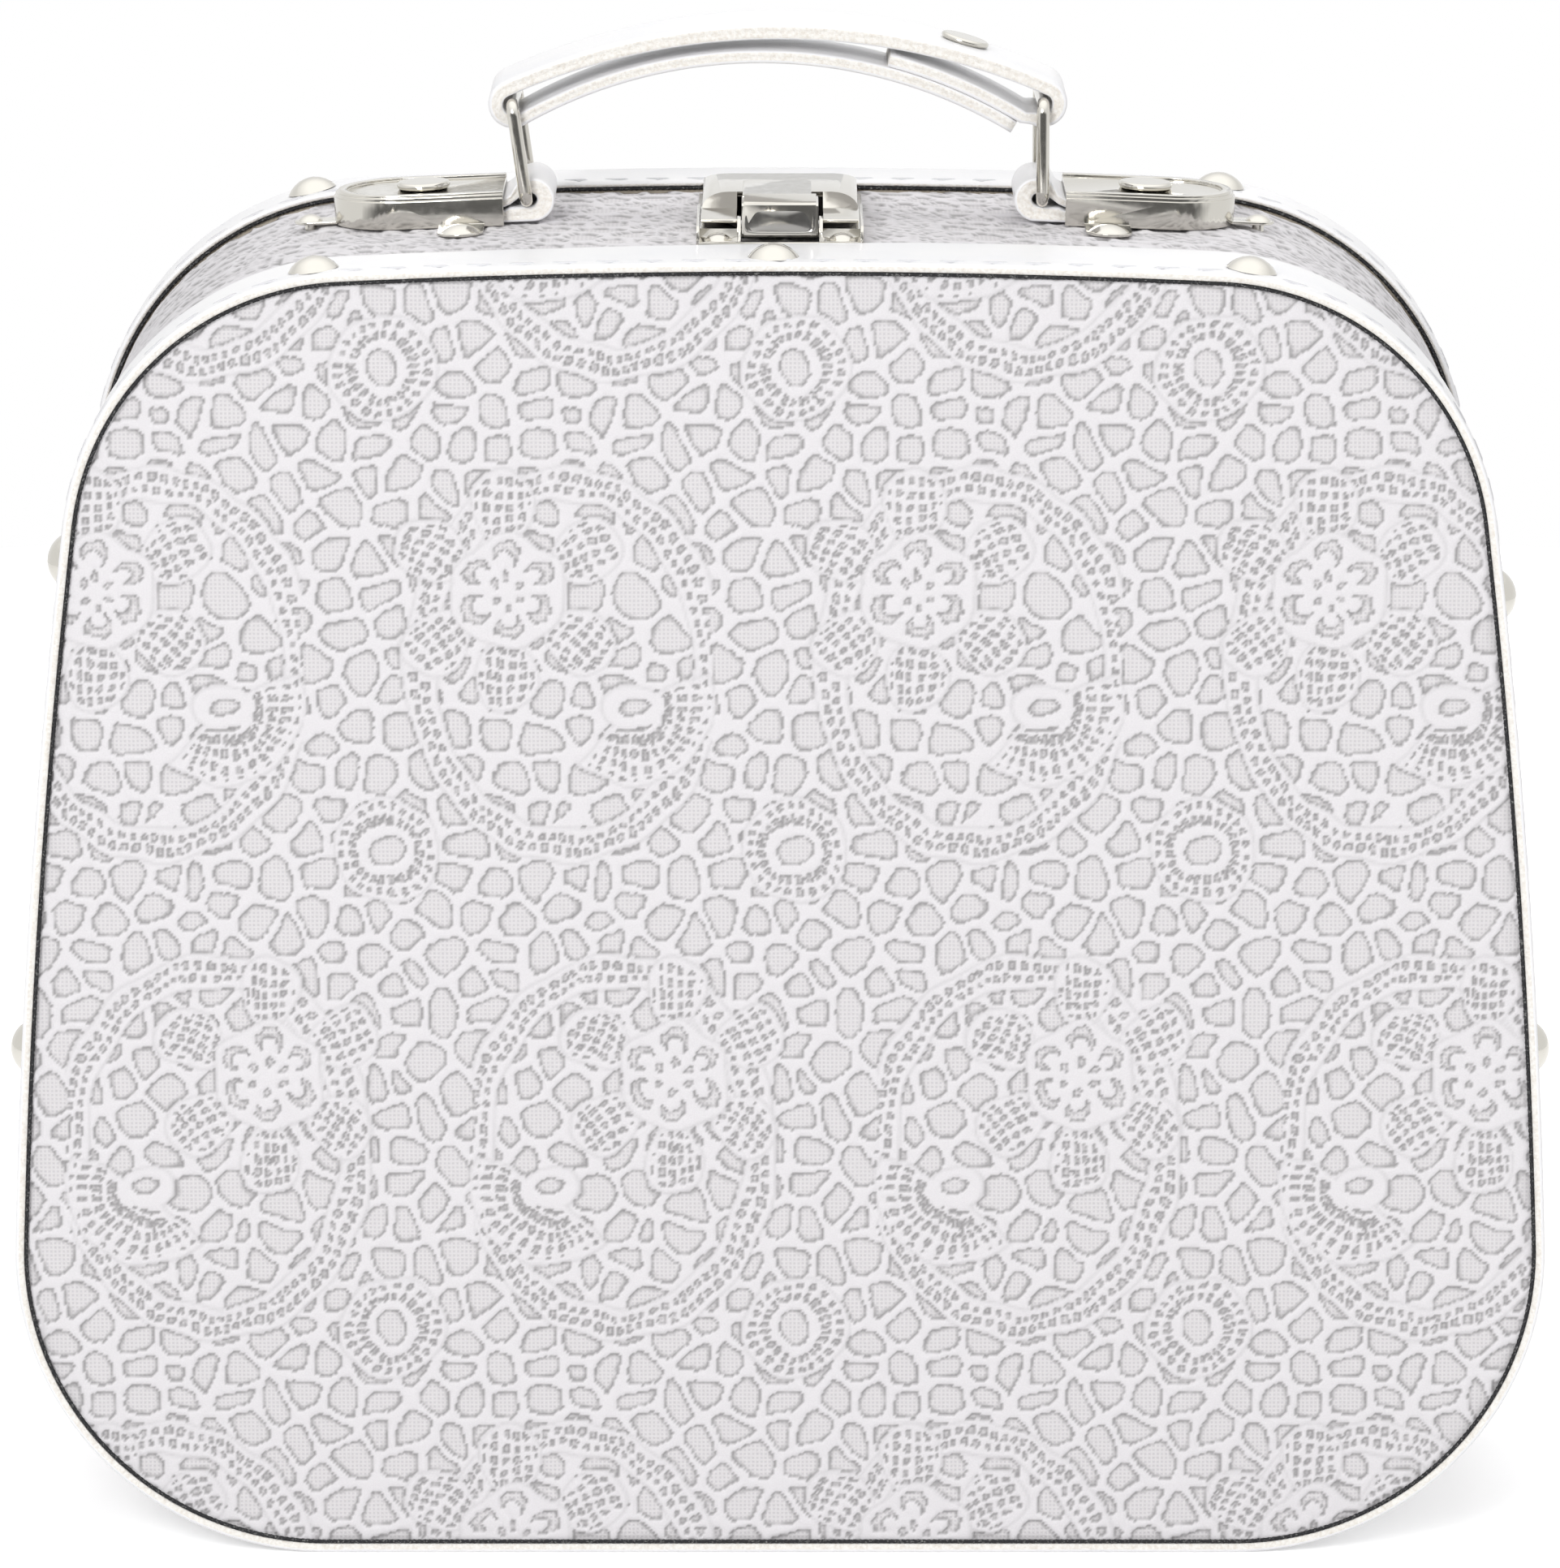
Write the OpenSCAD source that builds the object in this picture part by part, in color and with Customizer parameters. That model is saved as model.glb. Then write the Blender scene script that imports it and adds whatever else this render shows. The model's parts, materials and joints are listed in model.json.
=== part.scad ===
// Wedding card box: a small lace-covered suitcase with a bound edge, a
// spring latch and a strap handle on two rings.
// X is to the right, Y to the back (the lid side), Z up. The case stands on
// Z = 0 and is centred on X = 0 and Y = 0.

/* [Case outline] */
// Half length of the flat bottom edge
foot_half = 91.2; // [85:0.2:96]
// Radius of the two lower corners
low_corner_r = 59.2; // [54:0.2:62]
// How far the outline turns through a lower corner, in degrees
low_corner_turn = 92.28; // [91:0.01:94]
// Radius of the bowed side
side_r = 1680; // [1500:10:1900]
// How far the outline turns along the side, in degrees
side_turn = 5.01; // [4.5:0.01:5.5]
// Radius of the two upper corners
top_corner_r = 55.2; // [52:0.2:60]
// How far the outline turns through an upper corner, in degrees
top_corner_turn = 80; // [79:0.1:81]

/* [Depth] */
// From the lace of the front panel to the split between body and lid
body_d = 96.2; // [90:0.2:110]
// From the split to the lace of the back panel
lid_d = 16.3; // [15:0.1:20]
// Gap between body and lid
split_gap = 0.3; // [0.3:0.05:0.5]

/* [Layers] */
// Thickness of the board
board_t = 2.4; // [2:0.1:2.8]
// Thickness of the lace cloth
lace_t = 0.7; // [0.5:0.05:0.8]
// Thickness of the binding leather
trim_t = 0.9; // [0.8:0.05:1]
// Thickness of the lining
lining_t = 0.5; // [0.4:0.05:0.6]
// Width of the front binding on the case's side
trim_band = 20.5; // [18:0.5:23]
// Width of the binding's leg on the panel
trim_leg = 1.75; // [1.5:0.05:1.8]
// Thickness of the black edge cord
cord_t = 1.2; // [1:0.05:1.2]
// How far the lid's binding stands proud of the panel cord line
lid_proud = 3.6; // [3.4:0.1:4]
// Width of the lid binding's leg on the split and on the back panel
lid_leg = 1.2; // [1:0.05:1.4]

/* [Rivets] */
// Radius of a binding rivet's dome
dome_r = 5; // [4:0.1:5.5]
// Height of a binding rivet's dome
dome_h = 2.7; // [2:0.1:3]
// Distance of the front rivets from the front panel
dome_y = 6.4; // [6:0.1:9]
// Radius of every rivet shank
shank_r = 1.2; // [1:0.1:1.4]

/* [Latch] */
// Half width of the latch base
base_half = 16.5; // [16.3:0.1:17.5]
// Distance of the latch base from the front panel
base_y = 24; // [23.6:0.1:26]
// Half width of the catch plate on the lid
catch_half = 15.6; // [15:0.1:15.7]
// Half width of the lever's press block
block_half = 7.55; // [7:0.05:7.6]
// Height of the block's top over the panel cord line
block_top = 10.65; // [10.4:0.05:11]
// Radius of the latch pin
latch_pin_r = 0.8; // [0.7:0.05:0.9]

/* [Handle] */
// Distance of the handle's middle plane from the front panel
handle_y = 67.5; // [66:0.5:69]
// How far the handle's middle stands to the right of the case's middle
handle_x = 0.9; // [-1:0.1:1]
// Distance of a handle plate's middle from the handle's middle
plate_x = 73.6; // [72:0.1:76]
// Length of a handle plate
plate_l = 34.6; // [32:0.2:35]
// Width of a handle plate
plate_w = 27; // [26:0.5:28]
// Height of a handle plate
plate_h = 6.8; // [6.4:0.1:7]
// Width of the handle strap and of the ring tabs
strap_w = 22; // [20:0.5:22]
// Radius of the ring wire
wire_r = 1.3; // [1.2:0.05:1.5]
// Distance between the two bars of a ring
ring_h = 19.6; // [18:0.1:20]
// How far the left ring leans out, in degrees
ring_lean = 7.9; // [6:0.1:10]
// Height of the strap's crown over its bars
strap_rise = 16.1; // [14:0.1:17]

/* [Hinges] */
// Distance of a hinge's middle from the case's middle
hinge_x = 66; // [55:1:72]
// Radius of a hinge barrel
barrel_r = 2.4; // [2.3:0.05:2.4]
// Radius of the hinge pin
hinge_pin_r = 1; // [0.9:0.05:1.1]
// Length of a hinge barrel
barrel_l = 30; // [26:1:34]

/* [Hidden] */
$fn = 48;

// ---- Places along Y -------------------------------------------------------
leg_t = 1.0;
front_y = -(body_d + lid_d) / 2;
split_y = front_y + body_d;
back_y = split_y + lid_d;
body_end = split_y - split_gap;

// ---- Layer offsets, measured outwards from the panel cord line -------------
lace_out = 1.5;
board_out = lace_out - lace_t;
board_in = board_out - board_t;
lining_in = board_in - lining_t;
trim_out = lace_out + trim_t;
lid_board_out = lid_proud - trim_t;
lid_board_in = board_out;
lid_lining_in = 0;
foot_z = trim_out;

// ---- The case outline: a chain of arcs that run into each other ------------
// Each function works on the right half; heading 0 runs along the bottom.
function left_of(t) = [-sin(t), cos(t)];
function out_of(t) = [sin(t), -cos(t)];
head1 = low_corner_turn;
head2 = head1 + side_turn;
head3 = head2 + top_corner_turn;
c1 = [foot_half, low_corner_r];
c2 = c1 + (side_r - low_corner_r) * left_of(head1);
c3 = c2 + (top_corner_r - side_r) * left_of(head2);
top_r = top_corner_r + c3[0] / sin(head3);
c4 = c3 + (top_r - top_corner_r) * left_of(head3);
case_h = c4[1] + top_r;

function arc_points(c, r, t0, t1, n) =
  [for (i = [0 : n]) c + r * out_of(t0 + (t1 - t0) * i / n)];
function half_outline(d) = concat(
  arc_points(c1, low_corner_r + d, 0, head1, 16),
  arc_points(c2, side_r + d, head1, head2, 6),
  arc_points(c3, top_corner_r + d, head2, head3, 15),
  arc_points(c4, top_r + d, head3, 180, 4));
// Drops the points where two arcs meet twice.
function thin(p) = [for (i = [0 : len(p) - 1]) if (i == 0 || norm(p[i] - p[i - 1]) > 0.01) p[i]];
function mirror_x(p) = [for (i = [len(p) - 2 : -1 : 0]) [-p[i][0], p[i][1]]];
function closed(p) = concat(p, mirror_x(p));
function case_outline(d) = [for (q = closed(thin(half_outline(d)))) q + [0, foot_z]];
// The lid's outlines are pressed together a little in height, so that its
// wider binding stands on the same level as the front binding. Its hollow
// is pressed more, so that the floor inside comes level with the hinges.
lid_top = case_h + lid_proud;
lid_press = (lid_top + trim_out) / (lid_top + lid_proud);
hollow_press = 1 - 2.15 / lid_top;
function pressed(p, k) = [for (q = p) [q[0], lid_top - (lid_top - q[1]) * k + foot_z]];
function lid_outline(d) = pressed(closed(thin(half_outline(d))), lid_press);
function lid_hollow(d) = pressed(closed(thin(half_outline(d))), hollow_press);

// Height of the cord line's top at a given X
function top_z(x) = foot_z + c4[1] + sqrt(top_r * top_r - x * x);
crown_z = foot_z + case_h;

// ---- Helpers ---------------------------------------------------------------
module slab(y0, y1) {
  translate([0, y1, 0]) rotate([90, 0, 0]) linear_extrude(y1 - y0) children();
}
module ring_2d(outer, inner) {
  difference() {
    polygon(outer);
    polygon(inner);
  }
}
// A cylinder along X from x0 to x1
module bar_x(r, x0, x1) {
  translate([x0, 0, 0]) rotate([0, 90, 0]) cylinder(r = r, h = x1 - x0);
}
// A cylinder along Y, centred
module bar_y(r, l) {
  rotate([90, 0, 0]) cylinder(r = r, h = l, center = true);
}
// A profile drawn in Y and Z, extruded along X from x0 to x1
module along_x(x0, x1) {
  translate([x0, 0, 0]) rotate([90, 0, 90]) linear_extrude(x1 - x0) children();
}
// A domed rivet head that stands on Z = 0
module dome(r, h) {
  ball = (r * r + h * h) / (2 * h);
  rotate_extrude() intersection() {
    translate([0, h - ball]) circle(ball, $fn = 96);
    square([r, h]);
  }
}
// The same dome with the shank that goes down through what it holds
module dome_rivet(r, h, grip) {
  dome(r, h);
  translate([0, 0, -grip]) cylinder(r = shank_r, h = grip + 0.1);
}
// A flat cap rivet: a low disc with a rolled rim
module cap_rivet(r, h, grip) {
  rotate_extrude() union() {
    square([r - h / 2, h]);
    translate([r - h / 2, h / 2]) circle(h / 2, $fn = 24);
  }
  translate([0, 0, -grip]) cylinder(r = shank_r, h = grip + 0.1);
}
// Two sides, left and right
SIDES = [-1, 1];

// ---- Rivet places along the binding ----------------------------------------
rivet_top_x = [-90.8, -1.3, 91.7];
lid_rivet_top_x = [-95.9, 90.5];
// Side rivets, as the side they are on and their height
rivet_sides = [[-1, 101], [-1, 200], [1, 101], [1, 193]];
function corner_heading(x) = 180 - asin((x - c3[0]) / top_corner_r);
function top_heading(x) = abs(x) > c3[0] ? corner_heading(abs(x)) : 180 - asin(abs(x) / top_r);
function side_heading(z) = 90 + asin((z - c2[1]) / side_r);
function top_point(x, d) = abs(x) > c3[0]
  ? c3 + (top_corner_r + d) * out_of(top_heading(x))
  : c4 + (top_r + d) * out_of(top_heading(x));
function side_point(z, d) = c2 + (side_r + d) * out_of(side_heading(z));
// Puts its children on the outline at offset d, standing outwards.
module on_top(x, d, y) {
  p = top_point(x, d);
  translate([sign(x) * p[0], y, p[1] + foot_z])
    rotate([0, sign(x) * (180 - top_heading(x)), 0]) children();
}
module on_side(side, z, d, y) {
  p = side_point(z, d);
  translate([side * p[0], y, p[1] + foot_z])
    rotate([0, side * (180 - side_heading(z)), 0]) children();
}
module front_rivet_places(d) {
  for (x = rivet_top_x) on_top(x, d, front_y + dome_y) children();
  for (p = rivet_sides) on_side(p[0], p[1], d, front_y + dome_y) children();
}
lid_rivet_y = split_y + lid_d / 2;
// How far the lid's press lifts a point of the outline
function lid_rise(z) = (lid_top - z) * (1 - lid_press);
module lid_rivet_places(d) {
  for (x = lid_rivet_top_x) translate([0, 0, lid_rise(top_point(x, d)[1])])
    on_top(x, d, lid_rivet_y) children();
  for (p = rivet_sides) translate([0, 0, lid_rise(side_point(p[1], d)[1])])
    on_side(p[0], p[1], d, lid_rivet_y) children();
}
trim_grip = trim_out - lining_in;
lid_seat = lid_proud + 0.04;
lid_grip = lid_seat - lid_lining_in;
module front_rivet_holes() {
  front_rivet_places(trim_out) translate([0, 0, -trim_grip - 1]) cylinder(r = shank_r, h = trim_grip + 2);
}
module lid_rivet_holes() {
  lid_rivet_places(lid_seat) translate([0, 0, -lid_grip - 1]) cylinder(r = shank_r, h = lid_grip + 2);
}

// ---- Hinge places ------------------------------------------------------------
axis_z = 3;
leaf_t = 0.8;
leaf_z = axis_z + barrel_r - leaf_t;
leaf_reach = 16;
lid_leaf_reach = 11.5;
knuckle = (barrel_l - 0.6) / 3;
hinge_clear = 0.5;
hinge_hole_x = 9;
// The body's bottom edge is cut back, so that the lid can swing past it.
module hinge_relief() {
  translate([-200, split_y - 4.6, -1]) cube([400, 10, 6.6]);
}
module barrel_cuts() {
  for (s = SIDES) translate([s * hinge_x, split_y, 0])
    translate([-barrel_l / 2 - hinge_clear, -barrel_r - hinge_clear, -1])
      cube([barrel_l + 2 * hinge_clear, 2 * (barrel_r + hinge_clear), axis_z + barrel_r + 1.5]);
}
module hinge_holes(y_off, r) {
  for (s = SIDES, k = SIDES) translate([s * hinge_x + k * hinge_hole_x, split_y + y_off, -1])
    cylinder(r = r, h = 8);
}
body_hole_y = -11;
lid_hole_y = 7.5;

// ---- Latch and handle places on the top ---------------------------------------
latch_rivet_x = 12.2;
latch_rivet_y = 28;
catch_rivet_x = 9;
catch_rivet_y = 105.4;
catch_end_y = 108.6;
catch_low = 1.85;
catch_flat = 2.6;
plate_tilt = asin(plate_x / top_r);
plate_base = 0.1;
ear_reach = 8;
cap_x = -0.9;
// Puts its children in the frame of a handle plate: local X towards the
// case's end, local Z off the lace.
module at_plate(side) {
  translate([side * plate_x + handle_x, front_y + handle_y, top_z(plate_x) + lace_out + plate_base])
    rotate([0, side * plate_tilt, 0]) mirror([side < 0 ? 1 : 0, 0, 0]) children();
}
// Ear rivets, in the plate's own frame: two beside it and one at its end
ear_x = -8.8;
ear_t = 0.6;
ear_places = [[ear_x, -plate_w / 2 - ear_reach], [ear_x, plate_w / 2 + ear_reach], [plate_l / 2 + 5, 0]];
module plate_shanks(r) {
  for (s = SIDES) at_plate(s) {
    for (p = ear_places) translate([p[0], p[1], -6]) cylinder(r = r, h = 8);
    translate([cap_x, 0, -6]) cylinder(r = r, h = 13);
  }
}
module latch_shanks(r) {
  for (s = SIDES) translate([s * latch_rivet_x, front_y + latch_rivet_y, crown_z - 6])
    cylinder(r = r, h = 10);
}
module catch_shanks(r) {
  for (s = SIDES) translate([s * catch_rivet_x, front_y + catch_rivet_y, crown_z - 2])
    cylinder(r = r, h = 4.6);
}
// Room for the catch's flange between the lid's wall and its binding
module catch_room(low) {
  translate([-catch_half - 0.1, split_y - 0.1, crown_z + low])
    cube([2 * catch_half + 0.2, catch_end_y - body_d + 0.2, catch_flat + 0.05 - low]);
}
module top_holes() {
  plate_shanks(shank_r);
  latch_shanks(shank_r);
}

// ---- Body shell ----------------------------------------------------------------
front_board_y = front_y + lace_t;
body_inner_y = front_board_y + board_t;

module front_board() color([0.78, 0.72, 0.62])
  slab(front_board_y, body_inner_y) polygon(case_outline(board_out));

module body_wall() color([0.78, 0.72, 0.62]) difference() {
  slab(body_inner_y, body_end) ring_2d(case_outline(board_out), case_outline(board_in));
  hinge_relief();
  front_rivet_holes();
  top_holes();
  hinge_holes(body_hole_y, shank_r);
}

module front_lace() color([0.92, 0.91, 0.93])
  slab(front_y, front_board_y) polygon(case_outline(board_out));

module side_lace() color([0.92, 0.91, 0.93]) difference() {
  slab(front_y, body_end) ring_2d(case_outline(lace_out), case_outline(board_out));
  hinge_relief();
  front_rivet_holes();
  top_holes();
}

// An edge binding: a leg on the panel, a small rounded bend and a band.
module front_trim() color([0.97, 0.97, 0.99]) difference() {
  union() {
    slab(front_y - leg_t, front_y - leg_t * 0.7)
      ring_2d(case_outline(trim_out - 0.5), case_outline(trim_out - trim_leg));
    slab(front_y - leg_t * 0.7, front_y - leg_t * 0.3)
      ring_2d(case_outline(trim_out - 0.15), case_outline(trim_out - trim_leg));
    slab(front_y - leg_t * 0.3, front_y)
      ring_2d(case_outline(trim_out), case_outline(trim_out - trim_leg));
    slab(front_y, front_y + trim_band) ring_2d(case_outline(trim_out), case_outline(lace_out));
  }
  front_rivet_holes();
}

module front_piping() color([0.15, 0.15, 0.17])
  slab(front_y - leg_t, front_y) ring_2d(case_outline(cord_t / 2), case_outline(-cord_t / 2));

module front_trim_rivets() color([0.84, 0.83, 0.79])
  front_rivet_places(trim_out) dome_rivet(dome_r, dome_h, trim_grip);

module body_lining() color([0.95, 0.94, 0.92]) difference() {
  union() {
    slab(body_inner_y, body_inner_y + lining_t) polygon(case_outline(board_in));
    slab(body_inner_y + lining_t, body_end) ring_2d(case_outline(board_in), case_outline(lining_in));
  }
  hinge_relief();
  front_rivet_holes();
  top_holes();
  hinge_holes(body_hole_y, shank_r);
}

// The lip that finds the lid: it runs along the sides and the top only.
lip_t = 1.6;
lip_reach = 6;
lip_low = 80;
module locating_lip() color([0.9, 0.88, 0.84]) difference() {
  union() {
    slab(split_y - 8, split_y + lip_reach) ring_2d(case_outline(lining_in), case_outline(lining_in - lip_t));
    slab(split_y, split_y + lip_reach) ring_2d(case_outline(-0.4), case_outline(lining_in));
  }
  translate([-200, split_y - 20, -1]) cube([400, 40, lip_low + 1]);
  plate_shanks(shank_r + 0.3);
}

// ---- Lid shell -------------------------------------------------------------------
lid_front = split_y + leg_t;
lid_board_y = back_y - lace_t - board_t;

module lid_board() color([0.78, 0.72, 0.62])
  slab(lid_board_y, back_y - lace_t) polygon(lid_outline(lid_board_out));

module lid_wall() color([0.78, 0.72, 0.62]) difference() {
  slab(lid_front, lid_board_y) ring_2d(lid_outline(lid_board_out), lid_hollow(lid_board_in));
  barrel_cuts();
  lid_rivet_holes();
  hinge_holes(lid_hole_y, shank_r);
  catch_shanks(shank_r);
  catch_room(catch_low - 0.05);
}

module lid_lace() color([0.92, 0.91, 0.93])
  slab(back_y - lace_t, back_y) polygon(lid_outline(lid_board_out));

module lid_trim() color([0.97, 0.97, 0.99]) difference() {
  union() {
    slab(split_y, split_y + leg_t * 0.3)
      ring_2d(lid_outline(lid_proud - 0.4), lid_outline(lid_proud - lid_leg));
    slab(split_y + leg_t * 0.3, lid_front)
      ring_2d(lid_outline(lid_proud), lid_outline(lid_proud - lid_leg));
    slab(lid_front, back_y) ring_2d(lid_outline(lid_proud), lid_outline(lid_board_out));
    slab(back_y, back_y + leg_t * 0.7)
      ring_2d(lid_outline(lid_proud), lid_outline(lid_proud - lid_leg));
    slab(back_y + leg_t * 0.7, back_y + leg_t)
      ring_2d(lid_outline(lid_proud - 0.4), lid_outline(lid_proud - lid_leg));
  }
  barrel_cuts();
  lid_rivet_holes();
  catch_room(catch_low - 0.05);
}

lid_cord_out = lid_proud - lid_leg - 0.05;
module lid_piping() color([0.15, 0.15, 0.17]) difference() {
  for (y = [split_y, back_y])
    slab(y, y + leg_t) ring_2d(lid_outline(lid_cord_out), lid_outline(lid_cord_out - cord_t));
  barrel_cuts();
  catch_room(0);
}

module lid_trim_rivets() color([0.84, 0.83, 0.79])
  lid_rivet_places(lid_seat) dome_rivet(dome_r, dome_h, lid_grip);

module lid_lining() color([0.95, 0.94, 0.92]) difference() {
  union() {
    slab(lid_front, lid_board_y) ring_2d(lid_hollow(lid_board_in), lid_hollow(lid_lining_in));
    slab(lid_board_y - lining_t, lid_board_y) polygon(lid_hollow(lid_lining_in + 0.1));
  }
  barrel_cuts();
  lid_rivet_holes();
  hinge_holes(lid_hole_y, shank_r);
  catch_shanks(shank_r);
}

// ---- Hinges ------------------------------------------------------------------------
bore_r = hinge_pin_r + 0.05;
module body_hinge_leaf(side) color([0.82, 0.81, 0.78])
  translate([side * hinge_x, split_y, axis_z]) difference() {
    union() {
      translate([-barrel_l / 2, -leaf_reach, barrel_r - leaf_t])
        cube([barrel_l, leaf_reach - barrel_r - hinge_clear, leaf_t]);
      for (k = SIDES) translate([k * (barrel_l - knuckle) / 2, 0, 0]) {
        bar_x(barrel_r, -knuckle / 2, knuckle / 2);
        translate([-knuckle / 2, -leaf_reach, barrel_r - leaf_t]) cube([knuckle, leaf_reach, leaf_t]);
      }
    }
    bar_x(bore_r, -barrel_l, barrel_l);
    for (k = SIDES) translate([k * hinge_hole_x, body_hole_y, 0]) cylinder(r = shank_r, h = 5);
  }

module lid_hinge_leaf(side) color([0.82, 0.81, 0.78])
  translate([side * hinge_x, split_y, axis_z]) difference() {
    union() {
      translate([-barrel_l / 2, barrel_r + hinge_clear, barrel_r - leaf_t])
        cube([barrel_l, lid_leaf_reach - barrel_r - hinge_clear, leaf_t]);
      bar_x(barrel_r, -knuckle / 2, knuckle / 2);
      translate([-knuckle / 2, 0, barrel_r - leaf_t]) cube([knuckle, lid_leaf_reach, leaf_t]);
    }
    bar_x(bore_r, -barrel_l, barrel_l);
    for (k = SIDES) translate([k * hinge_hole_x, lid_hole_y, 0]) cylinder(r = shank_r, h = 5);
  }

module hinge_pin(side) color([0.7, 0.7, 0.7])
  translate([side * hinge_x, split_y, axis_z]) bar_x(hinge_pin_r, -barrel_l / 2, barrel_l / 2);

module hinge_rivets(y_off, low) {
  for (s = SIDES, k = SIDES) translate([s * hinge_x + k * hinge_hole_x, split_y + y_off, leaf_z + leaf_t])
    dome_rivet(2.4, 1, leaf_z + leaf_t - low);
}
module body_hinge_rivets() color([0.84, 0.83, 0.79]) hinge_rivets(body_hole_y, foot_z - board_out);
module lid_hinge_rivets() color([0.84, 0.83, 0.79]) hinge_rivets(lid_hole_y, 0.95);

// ---- Latch -----------------------------------------------------------------------------
// Profiles are drawn with Y from the front panel and Z from the cord line.
latch_pin_y = 28.6;
latch_pin_z = 5.2;
ear_in = 7.75;
floor_z = 2.3;
wall_top = 5.4;
wall_t = 0.6;
module at_latch() {
  translate([0, front_y, crown_z]) children();
}
module latch_base() color([0.84, 0.83, 0.79]) at_latch() difference() {
  union() {
    // Floor and the two side walls
    translate([-base_half, base_y, lace_out + 0.1]) cube([2 * base_half, 62, floor_z - lace_out - 0.1]);
    for (s = SIDES) along_x(s > 0 ? base_half - wall_t : -base_half, s > 0 ? base_half : -base_half + wall_t)
      polygon([[base_y, lace_out + 0.1], [base_y, 3], [base_y + 0.4, 4.4], [base_y + 1.4, wall_top],
               [base_y + 29, wall_top], [base_y + 31.5, 4.6], [base_y + 33, floor_z],
               [base_y + 33, lace_out + 0.1]]);
    for (s = SIDES) {
      // Ears that carry the pin
      along_x(s > 0 ? ear_in : -ear_in - 0.7, s > 0 ? ear_in + 0.7 : -ear_in)
        polygon([[25.2, floor_z - 0.5], [25.2, 4.2], [26.9, 6.6], [30.3, 6.6], [32, 4.6], [32, floor_z - 0.5]]);
      // Raised seats under the catch's legs
      translate([s > 0 ? ear_in + 0.6 : -base_half + wall_t - 0.1, 31.2, floor_z - 0.2])
        cube([base_half - wall_t - ear_in - 0.5, 28, 1.8]);
    }
  }
  // Window under the lever, and the pin's holes
  translate([-ear_in + 0.05, base_y + 1.1, 0]) cube([2 * ear_in - 0.1, 9, 4]);
  translate([0, latch_pin_y, latch_pin_z]) bar_x(latch_pin_r, -12, 12);
  for (s = SIDES) translate([s * latch_rivet_x, latch_rivet_y, 0]) cylinder(r = shank_r, h = 5);
}

module latch_base_rivets() color([0.84, 0.83, 0.79])
  for (s = SIDES) translate([s * latch_rivet_x, front_y + latch_rivet_y, crown_z + floor_z])
    dome_rivet(2.7, 1.3, floor_z - lining_in);

tongue_half = 6.8;
tongue_x = -0.6;
module latch_lever() color([0.86, 0.85, 0.82]) at_latch() difference() {
  union() {
    // Press block: a rounded front, a top that rises a little to the back
    along_x(-block_half + 0.4, block_half - 0.4)
      polygon([[25.5, 3.5], [25.5, 9.5], [25.75, 9.95], [26.4, 10.15], [33, block_top], [33.7, block_top - 0.3],
               [33.9, block_top - 0.9], [33.9, 3.5], [26.4, 3], [25.8, 3.1]]);
    along_x(-block_half, block_half)
      polygon([[25.8, 3.7], [25.8, 9.3], [26.3, 9.75], [33, block_top - 0.5], [33.4, block_top - 0.9],
               [33.4, 3.7], [26.4, 3.3]]);
    // Tongue over the catch
    translate([tongue_x, 33, block_top - 1.25]) linear_extrude(1) union() {
      translate([-tongue_half, 0]) square([2 * tongue_half, 17.5]);
      translate([-tongue_half + 2.5, 0]) square([2 * tongue_half - 5, 20]);
      for (s = SIDES) translate([s * (tongue_half - 2.5), 17.5]) circle(2.5);
    }
  }
  translate([0, latch_pin_y, latch_pin_z]) {
    bar_x(latch_pin_r + 0.05, -12, 12);
    bar_x(2.4, -3.2, 3.2);
  }
  // Slot for the spring, open at the back and below
  translate([-3.2, latch_pin_y, 0]) cube([6.4, 20, 7.4]);
}

module latch_pin() color([0.7, 0.7, 0.7])
  at_latch() translate([0, latch_pin_y, latch_pin_z]) bar_x(latch_pin_r, -ear_in - 0.7, ear_in + 0.7);

// Torsion spring: six turns round the pin, turned as one piece with the
// thin web between them, and a leg that rests on the floor
spring_wire = 0.28;
spring_r = 1.5;
turns = 6;
pitch = 0.6;
module latch_spring() color([0.6, 0.6, 0.62]) at_latch() translate([0, latch_pin_y, latch_pin_z]) {
  coil = (turns - 1) * pitch / 2;
  outer = [for (i = [0 : 2 * turns - 2])
    [spring_r + (i % 2 == 0 ? spring_wire : 0.12), i * pitch / 2 - coil]];
  inner = [for (i = [2 * turns - 2 : -1 : 0])
    [spring_r - (i % 2 == 0 ? spring_wire : 0.12), i * pitch / 2 - coil]];
  rotate([0, 90, 0]) rotate_extrude() polygon(concat(
    [[spring_r, -coil - spring_wire]], outer, [[spring_r, coil + spring_wire]], inner));
  translate([coil, 0, -spring_r]) rotate([96, 0, 180]) cylinder(r = spring_wire, h = 8, $fn = 16);
}

// Catch plate: two legs beside the block, a bridge with rounded shoulders,
// and a flange that goes in between the lid's wall and its binding
catch_t = 0.8;
leg_in = 8.6;
shoulder = [5.3, 2.7];
shoulder_z = 5.5;
bridge_z = shoulder_z + shoulder[1];
catch_side = [[33.4, shoulder_z - catch_t], [33.4, shoulder_z], [47, shoulder_z], [51, bridge_z],
              [75, bridge_z], [94, catch_flat], [catch_end_y, catch_flat], [catch_end_y, catch_low],
              [94, catch_low], [84, shoulder_z - catch_t]];
catch_under = [[47.3, shoulder_z - catch_t], [51.3, bridge_z - catch_t], [74.8, bridge_z - catch_t],
               [83.9, shoulder_z - catch_t], [83.9, 4], [47.3, 4]];
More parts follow.
